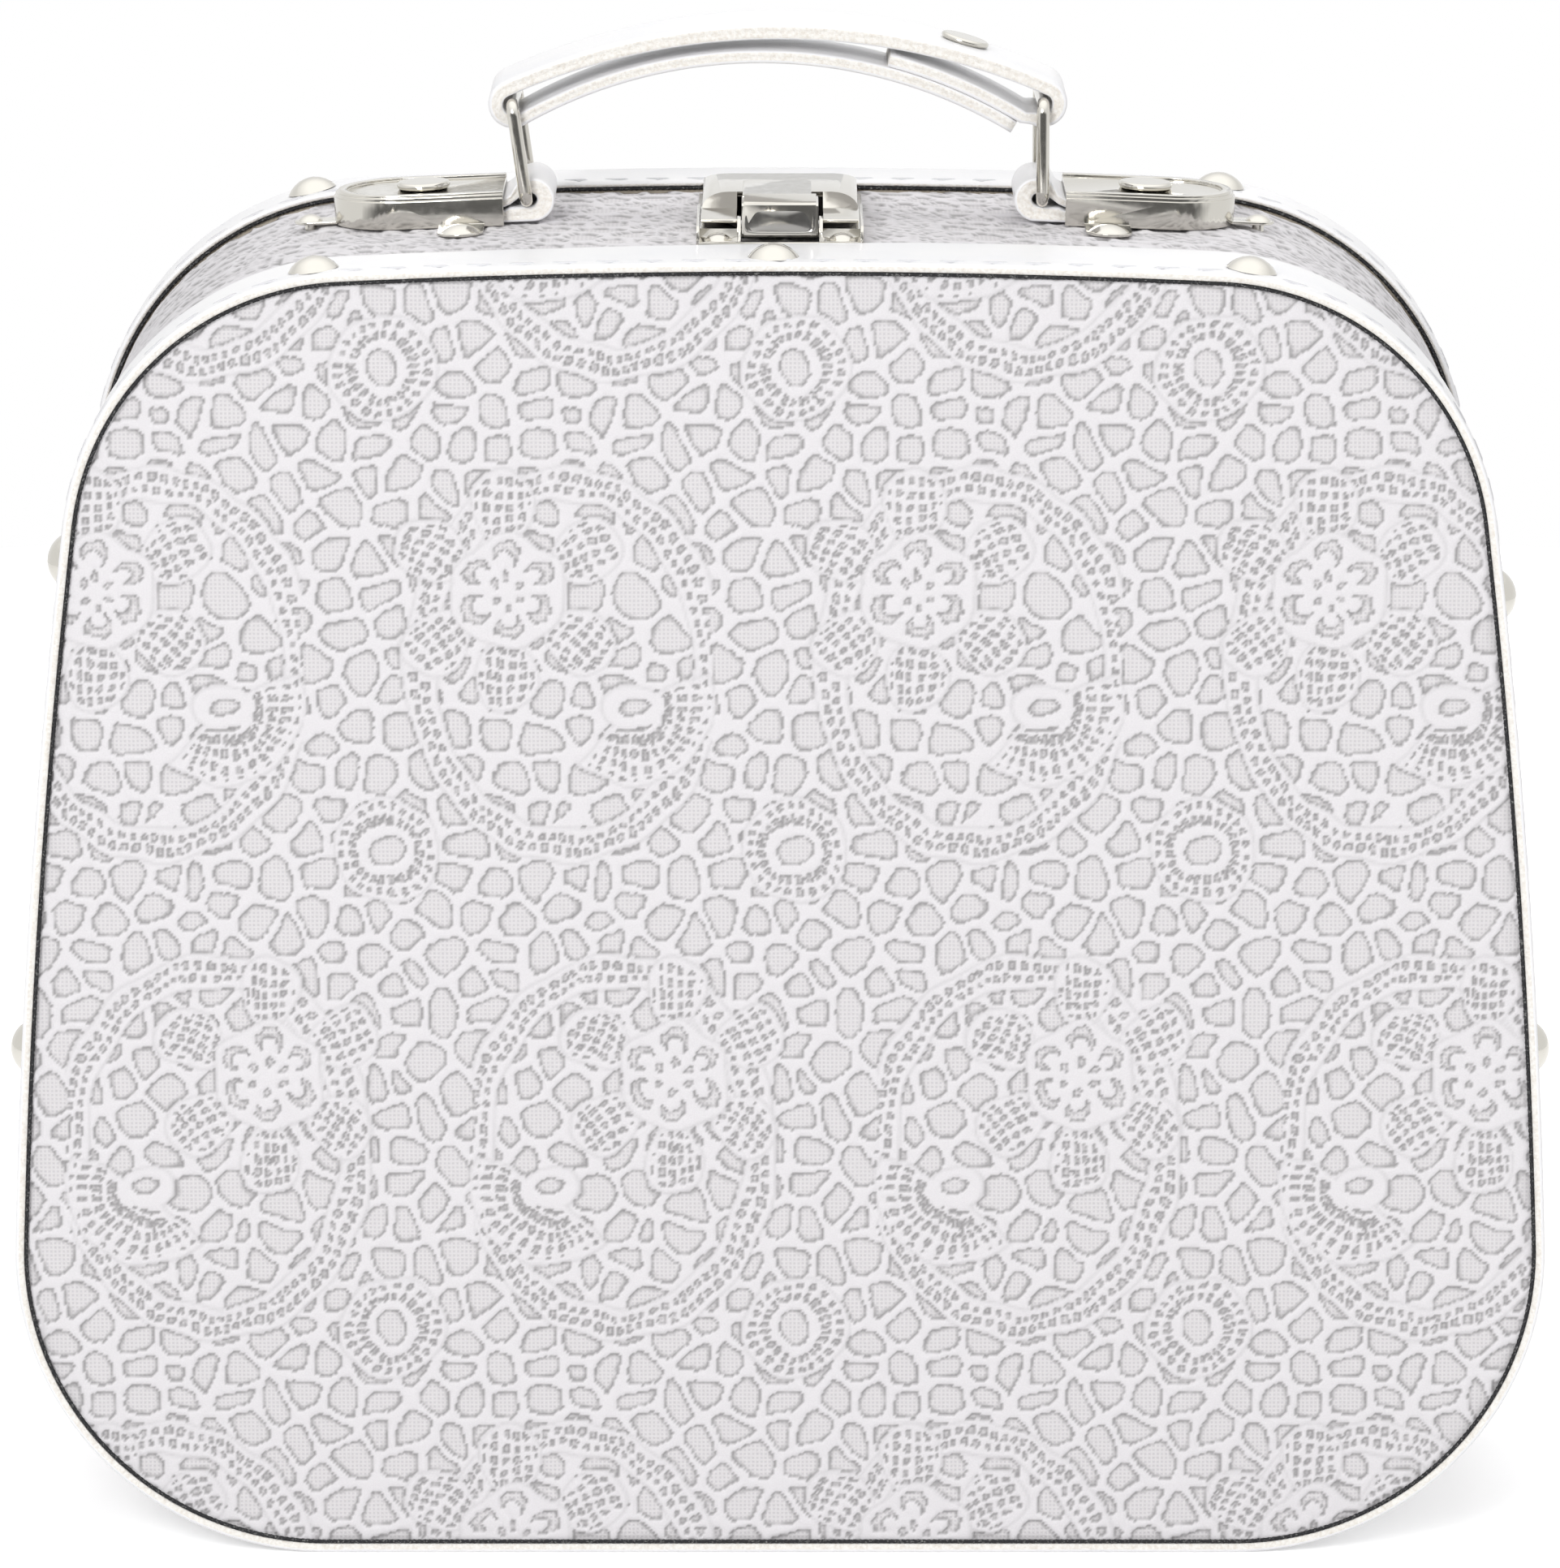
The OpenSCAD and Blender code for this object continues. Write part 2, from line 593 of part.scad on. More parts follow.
// Front view of the bridge, with both shoulders, inset by d
function shoulder_arc(d, a0, a1) = [for (i = [0 : 6])
  [catch_half - shoulder[0] + (shoulder[0] - d) * cos(a0 + (a1 - a0) * i / 6),
   shoulder_z + (shoulder[1] - d) * sin(a0 + (a1 - a0) * i / 6)]];
function bridge_front(d) = concat(
  [[-catch_half + d, 0], [catch_half - d, 0]],
  shoulder_arc(d, 0, 90),
  [for (q = shoulder_arc(d, 90, 0)) [-q[0], q[1]]]);
module latch_catch() color([0.84, 0.83, 0.79]) at_latch() difference() {
  union() {
    difference() {
      intersection() {
        along_x(-catch_half, catch_half) polygon(catch_side);
        slab(30, 110) polygon(bridge_front(0));
      }
      intersection() {
        along_x(-catch_half, catch_half) polygon(catch_under);
        slab(30, 110) polygon(bridge_front(catch_t));
      }
      // Room for the lever between the legs
      translate([-leg_in, 33, 4]) cube([2 * leg_in, 18, 6]);
    }
    // Rolled front edges of the legs
    for (s = SIDES) translate([0, 33.4, shoulder_z - catch_t / 2])
      bar_x(catch_t / 2, s > 0 ? leg_in - 0.5 : -catch_half, s > 0 ? catch_half : -leg_in + 0.5, $fn = 24);
  }
  for (s = SIDES) translate([s * catch_rivet_x, catch_rivet_y, 0]) cylinder(r = shank_r, h = 10);
}

// The catch's rivets are flush outside and headed inside the lid.
module latch_catch_rivets() color([0.84, 0.83, 0.79])
  for (s = SIDES) translate([s * catch_rivet_x, front_y + catch_rivet_y, crown_z + lid_lining_in - 0.1])
    mirror([0, 0, 1]) dome_rivet(2.5, 1, catch_flat - lid_lining_in + 0.1);

// ---- Handle ----------------------------------------------------------------------------
bar_x0 = -22;
bar_h = 4.6;
// Where the ring's lower bar lies in the case's own frame
pivot_x = plate_x + bar_x0 * cos(plate_tilt) + bar_h * sin(plate_tilt);
pivot_z = top_z(plate_x) + lace_out + plate_base - bar_x0 * sin(plate_tilt) + bar_h * cos(plate_tilt);
plate_t = 0.9;

// Plan of a plate: straight sides, a round outer end, offset inwards by d
module plate_plan(d) {
  translate([-plate_l / 2, -plate_w / 2 + d]) square([plate_l - plate_w / 2, plate_w - 2 * d]);
  translate([plate_l / 2 - plate_w / 2, 0]) circle(plate_w / 2 - d, $fn = 64);
}
module handle_plate(side) color([0.84, 0.83, 0.79]) at_plate(side) difference() {
  union() {
    linear_extrude(plate_h - 1.2) plate_plan(0);
    linear_extrude(plate_h - 0.5) plate_plan(0.35);
    linear_extrude(plate_h) plate_plan(0.9);
    // Ears
    for (p = ear_places) translate([p[0], p[1], 0]) cylinder(r = p[1] == 0 ? 3.2 : 4.6, h = ear_t);
    translate([ear_x - 4.6, -plate_w / 2 - ear_reach, 0]) cube([9.2, plate_w + 2 * ear_reach, ear_t]);
    translate([0, -3.2, 0]) cube([plate_l / 2 + 5, 6.4, ear_t]);
  }
  // Hollow from below, open towards the ring
  translate([0, 0, -1]) linear_extrude(plate_h - 1.5 + 1) plate_plan(plate_t);
  translate([-plate_l / 2 - 1, -plate_w / 2 + plate_t, -1]) cube([3, plate_w - 2 * plate_t, plate_h - 1.5 + 1]);
  // Sunk top inside a bead
  translate([0, 0, plate_h - 0.6]) linear_extrude(2) plate_plan(2.6);
  translate([-plate_l / 2 - 1, -plate_w / 2 + 2.6, plate_h - 0.6]) cube([6, plate_w - 5.2, 2]);
  for (p = ear_places) translate([p[0], p[1], -1]) cylinder(r = shank_r, h = 4);
  translate([cap_x, 0, 0]) cylinder(r = shank_r, h = 10);
}

shank_depth = lace_out + plate_base - lining_in;
module plate_cap_rivets() color([0.86, 0.85, 0.82])
  for (s = SIDES) at_plate(s) translate([cap_x, 0, plate_h - 0.6])
    cap_rivet(5.4, 1.5, plate_h - 0.6 + shank_depth);

module plate_ear_rivets() color([0.84, 0.83, 0.79])
  for (s = SIDES) at_plate(s) for (p = ear_places) translate([p[0], p[1], ear_t])
    dome_rivet(p[1] == 0 ? 2.6 : 4.2, p[1] == 0 ? 1.2 : 1.5, ear_t + shank_depth);

// Leather tab: a loop round the ring's bar, with both ends under the plate
loop_r = 4.4;
loop_x = bar_x0 - 1.2;
tab_in = 9;
tab_edge = concat(
  [for (i = [0 : 24]) [loop_x, bar_h] + loop_r * [cos(90 + 7.5 * i), sin(90 + 7.5 * i)]],
  [[tab_in, bar_h - loop_r], [tab_in, 4.6], [-plate_l / 2, 5], [bar_x0 + 1.6, bar_h + loop_r - 0.5]]);
// Where the two runs of the tab part beside the bar
tab_mouth = [[bar_x0 + 5, 3.4], [bar_x0 + 0.9, 5.5], [bar_x0 - 1.9, 5.3], [bar_x0 - 2.2, 3.7]];
module handle_tab(side) color([0.96, 0.96, 0.97]) at_plate(side) difference() {
  translate([0, strap_w / 2, 0]) rotate([90, 0, 0]) linear_extrude(strap_w) difference() {
    polygon(tab_edge);
    polygon(tab_mouth);
    translate([bar_x0, bar_h]) circle(wire_r + 0.08, $fn = 64);
  }
  translate([cap_x, 0, -1]) cylinder(r = shank_r, h = 10);
}

// Ring: four wire bars and four bends, hung from its lower bar at the origin
ring_half_w = strap_w / 2 + 2.1;
bend_r = 2;
module quarter_bend() {
  rotate([90, 0, 90]) rotate_extrude(angle = 90) translate([bend_r, 0]) circle(wire_r, $fn = 32);
}
module wire_ring() {
  side_l = 2 * (ring_half_w - bend_r);
  for (z = [0, ring_h]) translate([0, 0, z]) bar_y(wire_r, side_l);
  for (s = SIDES) translate([0, s * ring_half_w, bend_r]) cylinder(r = wire_r, h = ring_h - 2 * bend_r);
  for (s = SIDES, z = [0, 1]) translate([0, s * (ring_half_w - bend_r), z ? ring_h - bend_r : bend_r])
    mirror([0, s > 0 ? 0 : 1, 0]) mirror([0, 0, z ? 0 : 1]) quarter_bend();
}
module handle_ring(side) color([0.8, 0.78, 0.74])
  translate([side * pivot_x + handle_x, front_y + handle_y, pivot_z])
    rotate([0, side < 0 ? -ring_lean : 0, 0]) wire_ring();

// Strap: one strip wound flat round both bars, seen from the front.
// Its own frame has the bars at -bar_half and +bar_half.
bar_left = [-pivot_x - ring_h * sin(ring_lean), pivot_z + ring_h * cos(ring_lean)];
bar_right = [pivot_x, pivot_z + ring_h];
bar_half = norm(bar_right - bar_left) / 2;
strap_mid = (bar_left + bar_right) / 2;
strap_tilt = -asin((bar_right[1] - bar_left[1]) / (2 * bar_half));
end_r = 4.9;
upper_t = 3.2;
lower_t = 2.6;
strap_depth = 8;
under_rise = strap_rise - strap_depth;
under_x = -3.5;
under_span = bar_half + under_x;
// The outer arc runs into both end rounds; the lower arc leaves the left one.
upper_r = (bar_half * bar_half + strap_rise * strap_rise - end_r * end_r) / (2 * (strap_rise - end_r));
lower_r = (under_span * under_span + under_rise * under_rise - end_r * end_r) / (2 * (under_rise + end_r));
upper_c = [0, strap_rise - upper_r];
lower_c = [under_x, under_rise - lower_r];
upper_end = bar_half * upper_r / (upper_r - end_r);
lower_start = under_x - under_span * lower_r / (lower_r + end_r);
function on_arc(c, r, u) = [u, c[1] + sqrt(r * r - (u - c[0]) * (u - c[0]))];
function run(c, r, u0, u1, n) = [for (i = [0 : n]) on_arc(c, r, u0 + (u1 - u0) * i / n)];
function round_end(x, a0, a1, n) =
  [for (i = [0 : n]) [x, 0] + end_r * [cos(a0 + (a1 - a0) * i / n), sin(a0 + (a1 - a0) * i / n)]];
upper_turn = atan2(-upper_c[1], bar_half);
lower_turn = atan2(lower_c[1], under_span);
free_end = 48;
inner_end = 22;
free_top = on_arc(lower_c, lower_r + lower_t, free_end);
free_low = lower_c + (free_top - lower_c) * lower_r / (lower_r + lower_t);
// Over the top run, round the right bar, back under to the left one
strap_edge = thin(concat(
  run(upper_c, upper_r, -upper_end, upper_end, 28),
  round_end(bar_half, upper_turn, -125, 18),
  [free_top],
  run(lower_c, lower_r, free_low[0], lower_start, 26),
  round_end(-bar_half, lower_turn, -180 - upper_turn, 17)));
// The room between the runs; the strip's inner end lies in its right half.
strap_gap = concat(
  [[-bar_half, 0.5]],
  run(upper_c, upper_r - upper_t, -47, 47, 24),
  [[bar_half, 0.6], [bar_half, -0.6]],
  run(lower_c, lower_r + 2 * lower_t, 47.5, inner_end, 7),
  run(lower_c, lower_r + lower_t, inner_end, -46, 18),
  [[-bar_half, -0.5]]);
loose = 0.7;
strap_rivet_u = 37.6;
module at_strap() {
  translate([strap_mid[0] + handle_x, front_y + handle_y, strap_mid[1]]) rotate([0, strap_tilt, 0]) children();
}
module at_strap_rivet() {
  p = on_arc(upper_c, upper_r, strap_rivet_u);
  at_strap() translate([p[0], 0, p[1]]) rotate([0, asin(strap_rivet_u / upper_r), 0]) children();
}
module handle_strap() color([0.96, 0.96, 0.97]) difference() {
  at_strap() translate([0, strap_w / 2, 0]) rotate([90, 0, 0]) linear_extrude(strap_w) difference() {
    polygon(strap_edge);
    polygon(strap_gap);
    translate([-bar_half, 0]) circle(wire_r + 0.08, $fn = 64);
    translate([bar_half, 0]) circle(wire_r + loose, $fn = 64);
  }
  at_strap_rivet() translate([0, 0, -upper_t - 1]) cylinder(r = shank_r, h = upper_t + 2);
}

module strap_rivet() color([0.86, 0.85, 0.82])
  at_strap_rivet() translate([0, 0, 0.02]) cap_rivet(4.9, 1.2, upper_t);

front_board();
body_wall();
front_lace();
side_lace();
front_trim();
front_piping();
front_trim_rivets();
body_lining();
locating_lip();
lid_board();
lid_wall();
lid_lace();
lid_trim();
lid_piping();
lid_trim_rivets();
lid_lining();
body_hinge_leaf(-1);  // body_hinge_leaf_left
body_hinge_leaf(1);  // body_hinge_leaf_right
lid_hinge_leaf(-1);  // lid_hinge_leaf_left
lid_hinge_leaf(1);  // lid_hinge_leaf_right
hinge_pin(-1);  // hinge_pin_left
hinge_pin(1);  // hinge_pin_right
body_hinge_rivets();
lid_hinge_rivets();
latch_base();
latch_base_rivets();
latch_lever();
latch_pin();
latch_spring();
latch_catch();
latch_catch_rivets();
handle_plate(-1);  // handle_plate_left
handle_plate(1);  // handle_plate_right
plate_cap_rivets();
plate_ear_rivets();
handle_tab(-1);  // handle_tab_left
handle_tab(1);  // handle_tab_right
handle_ring(-1);  // handle_ring_left
handle_ring(1);  // handle_ring_right
handle_strap();
strap_rivet();
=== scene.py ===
"""Looks of the wedding card box: a lace-covered suitcase with bound edges.

Lengths in the dataclasses are millimetres; MM turns them into metres where a
mesh, a lamp or the camera is made. In a finish, a relief depth is in metres and
a noise scale is in waves per metre.
"""

from __future__ import annotations

import json
import logging
import math
from dataclasses import dataclass, field
from typing import Callable, Iterable, Sequence

import bmesh
import bpy
import numpy as np
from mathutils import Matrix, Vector

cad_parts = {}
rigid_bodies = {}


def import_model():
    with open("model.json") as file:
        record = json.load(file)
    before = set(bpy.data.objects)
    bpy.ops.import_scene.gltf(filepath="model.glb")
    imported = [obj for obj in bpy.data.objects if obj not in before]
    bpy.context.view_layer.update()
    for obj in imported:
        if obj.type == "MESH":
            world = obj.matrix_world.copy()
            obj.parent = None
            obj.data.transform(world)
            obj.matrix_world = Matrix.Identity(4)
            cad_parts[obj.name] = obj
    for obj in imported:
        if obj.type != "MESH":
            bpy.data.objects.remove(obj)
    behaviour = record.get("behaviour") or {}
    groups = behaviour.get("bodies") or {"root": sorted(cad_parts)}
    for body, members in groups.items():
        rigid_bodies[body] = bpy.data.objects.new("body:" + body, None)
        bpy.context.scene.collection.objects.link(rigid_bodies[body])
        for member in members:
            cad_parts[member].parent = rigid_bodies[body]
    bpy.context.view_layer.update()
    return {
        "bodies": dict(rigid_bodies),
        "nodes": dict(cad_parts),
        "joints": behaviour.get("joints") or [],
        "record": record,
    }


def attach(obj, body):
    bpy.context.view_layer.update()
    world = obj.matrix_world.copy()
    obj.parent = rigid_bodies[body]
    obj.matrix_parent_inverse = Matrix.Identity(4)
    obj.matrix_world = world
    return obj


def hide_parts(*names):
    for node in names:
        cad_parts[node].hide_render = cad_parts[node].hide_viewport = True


LOG = logging.getLogger("card_box")
MM = 0.001
LATCH_FLOOR = 2.35  # millimetres from the crown to the top of the latch's floor
MERGE_DISTANCE = 2e-6  # metres; joins the doubled corners of the solid model's meshes


# ---------------------------------------------------------------------------
# Node trees
# ---------------------------------------------------------------------------
class Board:
    """A node tree and short ways to add and join its nodes."""

    def __init__(self, tree: bpy.types.NodeTree) -> None:
        """Keeps the tree that nodes are added to."""
        self.tree = tree

    def add(self, kind: str, inputs: dict | None = None, **settings: object) -> bpy.types.Node:
        """Adds one node.

        Args:
            kind: The node's type name.
            inputs: Input name or number to a value or to an output socket.
            settings: Attributes of the node, set before its inputs.

        Returns:
            The new node.
        """
        node = self.tree.nodes.new(kind)
        for key, value in settings.items():
            setattr(node, key, value)
        for key, value in (inputs or {}).items():
            socket = node.inputs[key]
            if isinstance(value, bpy.types.NodeSocket):
                self.tree.links.new(value, socket)
            else:
                socket.default_value = value
        return node

    def math(self, operation: str, a: object, b: object = 0.0, clamp: bool = False) -> bpy.types.NodeSocket:
        """Adds a math node and returns its value."""
        kind = "ShaderNodeMath"
        return self.add(kind, {0: a, 1: b}, operation=operation, use_clamp=clamp).outputs[0]

    def mix(self, factor: object, a: object, b: object, blend: str = "MIX") -> bpy.types.NodeSocket:
        """Adds a colour mix.

        Args:
            factor: Share of the second colour, as a value or a socket.
            a: First colour, as three numbers or a socket.
            b: Second colour, as three numbers or a socket.
            blend: The node's way of mixing.

        Returns:
            The mixed colour's socket.
        """
        node = self.add("ShaderNodeMix", {0: factor}, data_type="RGBA", blend_type=blend)
        for index, value in ((6, a), (7, b)):
            if isinstance(value, bpy.types.NodeSocket):
                self.tree.links.new(value, node.inputs[index])
            else:
                node.inputs[index].default_value = (*value[:3], 1.0)
        return node.outputs[2]

    def ramp(self, value: bpy.types.NodeSocket, low: float, high: float) -> bpy.types.NodeSocket:
        """Maps low..high of a value to 0..1, clamped, and returns it."""
        node = self.add("ShaderNodeMapRange", {0: value, 1: low, 2: high})
        return node.outputs[0]


Colour = tuple[float, float, float]


@dataclass(frozen=True)
class Finish:
    """A surface finish. Subclasses add their own pattern in `pattern`."""

    name: str
    colour: Colour
    roughness: float = 0.5
    metallic: float = 0.0
    coat: float = 0.0
    sheen: float = 0.0
    specular: float = 0.5

    def pattern(self, board: Board, shader: bpy.types.Node) -> None:
        """Wires this finish's colour and relief into the shader.

        A plain finish has neither; each subclass puts in its own.

        Args:
            board: The material's node tree.
            shader: Its Principled node.
        """

    def build(self) -> bpy.types.Material:
        """Makes the material.

        Returns:
            The finished material.
        """
        material = bpy.data.materials.new(self.name)
        material.use_nodes = True
        tree = material.node_tree
        tree.nodes.clear()
        board = Board(tree)
        shader = board.add("ShaderNodeBsdfPrincipled")
        shader.inputs["Base Color"].default_value = (*self.colour, 1.0)
        shader.inputs["Roughness"].default_value = self.roughness
        shader.inputs["Metallic"].default_value = self.metallic
        shader.inputs["Coat Weight"].default_value = self.coat
        shader.inputs["Sheen Weight"].default_value = self.sheen
        shader.inputs["Specular IOR Level"].default_value = self.specular
        board.add("ShaderNodeOutputMaterial", {"Surface": shader.outputs[0]})
        self.pattern(board, shader)
        return material

    def noise(self, board: Board, scale: float, detail: float = 3.0) -> bpy.types.NodeSocket:
        """Adds noise on Object coordinates.

        Args:
            board: The material's node tree.
            scale: Waves per metre.
            detail: Number of finer layers.

        Returns:
            The noise's value.
        """
        place = board.add("ShaderNodeTexCoord").outputs["Object"]
        inputs = {"Vector": place, "Scale": scale, "Detail": detail}
        return board.add("ShaderNodeTexNoise", inputs).outputs[0]

    def relief(self, board: Board, shader: bpy.types.Node, height: bpy.types.NodeSocket,
               depth: float) -> None:
        """Adds a bump of the given depth in metres."""
        bump = board.add("ShaderNodeBump", {"Height": height, "Distance": depth, "Strength": 1.0})
        board.tree.links.new(bump.outputs[0], shader.inputs["Normal"])

    def shade(self, board: Board, shader: bpy.types.Node, value: bpy.types.NodeSocket, other: Colour) -> None:
        """Mixes the base colour towards another by a value of 0..1."""
        board.tree.links.new(board.mix(value, self.colour, other), shader.inputs["Base Color"])


@dataclass(frozen=True)
class Leather(Finish):
    """Coated leather: fine grain and faint clouding."""

    grain: float = 1800.0
    depth: float = 0.00006
    cloud: Colour = (0.87, 0.87, 0.89)
    cloud_scale: float = 60.0

    def pattern(self, board: Board, shader: bpy.types.Node) -> None:
        """Adds grain relief and a cloudy tint.

        Args:
            board: The material's node tree.
            shader: Its Principled node.
        """
        place = board.add("ShaderNodeTexCoord").outputs["Object"]
        inputs = {"Vector": place, "Scale": self.grain}
        cells = board.add("ShaderNodeTexVoronoi", inputs, feature="SMOOTH_F1")
        self.relief(board, shader, cells.outputs[0], self.depth)
        cloud = board.ramp(self.noise(board, self.cloud_scale), 0.35, 0.75)
        self.shade(board, shader, cloud, self.cloud)


@dataclass(frozen=True)
class CutEdge(Finish):
    """The fibrous cut edge of leather."""

    dark: Colour = (0.78, 0.73, 0.66)
    scale: float = 1500.0
    depth: float = 0.0003

    def pattern(self, board: Board, shader: bpy.types.Node) -> None:
        """Adds pale and tan fibres with a rough relief.

        Args:
            board: The material's node tree.
            shader: Its Principled node.
        """
        fibres = self.noise(board, self.scale, 6.0)
        self.shade(board, shader, board.ramp(fibres, 0.4, 0.75), self.dark)
        self.relief(board, shader, fibres, self.depth)


@dataclass(frozen=True)
class Woven(Finish):
    """Cloth with a fine square weave."""

    pitch: float = 0.83
    depth: float = 0.0001
    shadow: Colour = (0.6, 0.58, 0.6)

    def weave(self, board: Board) -> bpy.types.NodeSocket:
        """Adds crossing threads that lie along the surface, whichever way it faces.

        Args:
            board: The material's node tree.

        Returns:
            The threads' height, from 0 in a gap to 1 on a thread.
        """
        coordinates = board.add("ShaderNodeTexCoord")
        place = board.add("ShaderNodeSeparateXYZ", {0: coordinates.outputs["Object"]})
        facing = board.add("ShaderNodeSeparateXYZ", {0: coordinates.outputs["Normal"]})
        turns = 2.0 * math.pi / (self.pitch * MM)
        threads = []
        for axis in range(3):
            wave = board.math("COSINE", board.math("MULTIPLY", place.outputs[axis], turns))
            lift = board.math("ADD", board.math("MULTIPLY", wave, 0.5), 0.5)
            across = board.math("SUBTRACT", 1.0, board.math("ABSOLUTE", facing.outputs[axis]))
            threads.append(board.math("MULTIPLY", lift, across))
        return board.math("MAXIMUM", board.math("MAXIMUM", threads[0], threads[1]), threads[2])

    def pattern(self, board: Board, shader: bpy.types.Node) -> None:
        """Adds the weave's relief and shadow.

        Args:
            board: The material's node tree.
            shader: Its Principled node.
        """
        lift = self.weave(board)
        self.relief(board, shader, lift, self.depth)
        self.shade(board, shader, board.math("SUBTRACT", 1.0, lift), self.shadow)


@dataclass(frozen=True)
class LaceCloth(Woven):
    """Lace: pale corded work over a fine woven ground.

    The pieces carry two attributes: lace_rise is 1 on the corded work, and
    lace_painted_shade is high on the ground beside it and along the motifs' outlines,
    where it darkens the colour as painted shade.
    """

    ground: Colour = (0.73, 0.71, 0.72)
    # Painted shade beside the raised work and along the outlines: rim_shade is how much lace_painted_shade
    # darkens the colour, painted_shade_dark the darkest tone as a share of the ground colour.
    rim_shade: float = 0.8
    painted_shade_dark: float = 0.35
    worn_dark: float = 0.93
    fibre: float = 3200.0
    thread_lift: float = 0.55
    fibre_lift: float = 0.9

    def pattern(self, board: Board, shader: bpy.types.Node) -> None:
        """Adds the two heights' colours, the weave, the cord's fibres and painted shade at rims and outlines.

        Args:
            board: The material's node tree.
            shader: Its Principled node.
        """
        rise = board.add("ShaderNodeAttribute", attribute_name="lace_rise").outputs["Fac"]
        rim = board.add("ShaderNodeAttribute", attribute_name="lace_painted_shade").outputs["Fac"]
        low = board.math("SUBTRACT", 1.0, rise)
        threads = board.math("MULTIPLY", self.weave(board), low)
        fibres = self.noise(board, self.fibre, 4.0)
        raised = board.math("MULTIPLY", threads, self.thread_lift)
        height = board.math("ADD", raised, board.math("MULTIPLY", fibres, self.fibre_lift))
        self.relief(board, shader, height, self.depth)
        gaps = board.math("MULTIPLY", board.math("SUBTRACT", 1.0, threads), low)
        weave = board.mix(gaps, self.ground, self.shadow)
        worn_colour = tuple(c * self.worn_dark for c in self.colour)
        worn = board.mix(board.ramp(fibres, 0.3, 0.75), self.colour, worn_colour)
        cloth = board.mix(rise, weave, worn)
        # Painted shade: lace_painted_shade darkens the colour beside the raised work and along the motifs'
        # outlines.
        shaded = board.math("MULTIPLY", rim, self.rim_shade)
        dark = board.mix(shaded, cloth, tuple(c * self.painted_shade_dark for c in self.ground))
        board.tree.links.new(dark, shader.inputs["Base Color"])


@dataclass(frozen=True)
class Plated(Finish):
    """Bright plate over stamped metal: faint waves and fine wear."""

    wave: float = 70.0
    depth: float = 0.0002
    streak: float = 0.12
    draw_scale: tuple[float, float, float] = (900.0, 900.0, 40.0)
    wear_scale: float = 700.0
    wear: float = 0.1

    def pattern(self, board: Board, shader: bpy.types.Node) -> None:
        """Adds the plate's waviness, upright draw lines on its walls and uneven polish.

        Args:
            board: The material's node tree.
            shader: Its Principled node.
        """
        coordinates = board.add("ShaderNodeTexCoord")
        place = {0: coordinates.outputs["Object"], 1: self.draw_scale}
        upright = board.add("ShaderNodeVectorMath", place, operation="MULTIPLY")
        inputs = {"Vector": upright.outputs[0], "Scale": 1.0, "Detail": 2.0}
        lines = board.add("ShaderNodeTexNoise", inputs).outputs[0]
        facing = board.add("ShaderNodeSeparateXYZ", {0: coordinates.outputs["Normal"]})
        wall = board.math("SUBTRACT", 1.0, board.math("ABSOLUTE", facing.outputs[2]))
        drawn = board.math("MULTIPLY", board.math("MULTIPLY", lines, wall), self.streak)
        height = board.math("ADD", self.noise(board, self.wave, 1.0), drawn)
        self.relief(board, shader, height, self.depth)
        wear = board.ramp(self.noise(board, self.wear_scale, 4.0), 0.3, 0.8)
        rough = board.math("ADD", board.math("MULTIPLY", wear, self.wear), self.roughness)
        board.tree.links.new(rough, shader.inputs["Roughness"])


@dataclass(frozen=True)
class Fibrous(Finish):
    """Thread, cord or board: small uneven fibres.

    `amount` is the noise above which fibres turn light.
    """

    scale: float = 2500.0
    depth: float = 0.0002
    light: Colour = (0.3, 0.3, 0.32)
    amount: float = 0.7

    def pattern(self, board: Board, shader: bpy.types.Node) -> None:
        """Adds light fibres and a fine relief.

        Args:
            board: The material's node tree.
            shader: Its Principled node.
        """
        fibres = self.noise(board, self.scale, 4.0)
        self.relief(board, shader, fibres, self.depth)
        self.shade(board, shader, board.ramp(fibres, self.amount, 1.0), self.light)


@dataclass
class Finishes:
    """Every finish of the card box, made once."""

    leather: bpy.types.Material = field(init=False)
    cut_edge: bpy.types.Material = field(init=False)
    lace: bpy.types.Material = field(init=False)
    nickel: bpy.types.Material = field(init=False)
    rubbed_nickel: bpy.types.Material = field(init=False)
    steel: bpy.types.Material = field(init=False)
    cord: bpy.types.Material = field(init=False)
    thread: bpy.types.Material = field(init=False)
    board: bpy.types.Material = field(init=False)
    lining: bpy.types.Material = field(init=False)

    def __post_init__(self) -> None:
        """Builds the materials."""
        self.leather = Leather("white_leather", (0.92, 0.915, 0.92), 0.42, coat=0.12).build()
        self.cut_edge = CutEdge("leather_cut_edge", (0.93, 0.91, 0.87), 0.85).build()
        self.lace = LaceCloth("lace_cloth", (0.79, 0.77, 0.79), 0.9, sheen=0.1).build()
        self.nickel = Plated("nickel", (0.64, 0.62, 0.57), 0.09, metallic=1.0).build()
        self.rubbed_nickel = Plated("rubbed_nickel", (0.43, 0.42, 0.4), 0.15, metallic=1.0).build()
        self.steel = Plated("steel", (0.6, 0.6, 0.6), 0.3, metallic=1.0).build()
        self.cord = Fibrous("black_cord", (0.014, 0.014, 0.016), 0.8,
                            light=(0.6, 0.6, 0.58), amount=0.55).build()
        self.thread = Fibrous("white_thread", (0.72, 0.72, 0.74), 0.7, light=(0.6, 0.6, 0.62)).build()
        self.board = Fibrous("chipboard", (0.5, 0.44, 0.36), 0.9, scale=900.0,
                             light=(0.62, 0.57, 0.48), amount=0.4).build()
        self.lining = Woven("lining_cloth", (0.82, 0.81, 0.77), 0.9, pitch=0.8,
                            shadow=(0.74, 0.73, 0.69)).build()


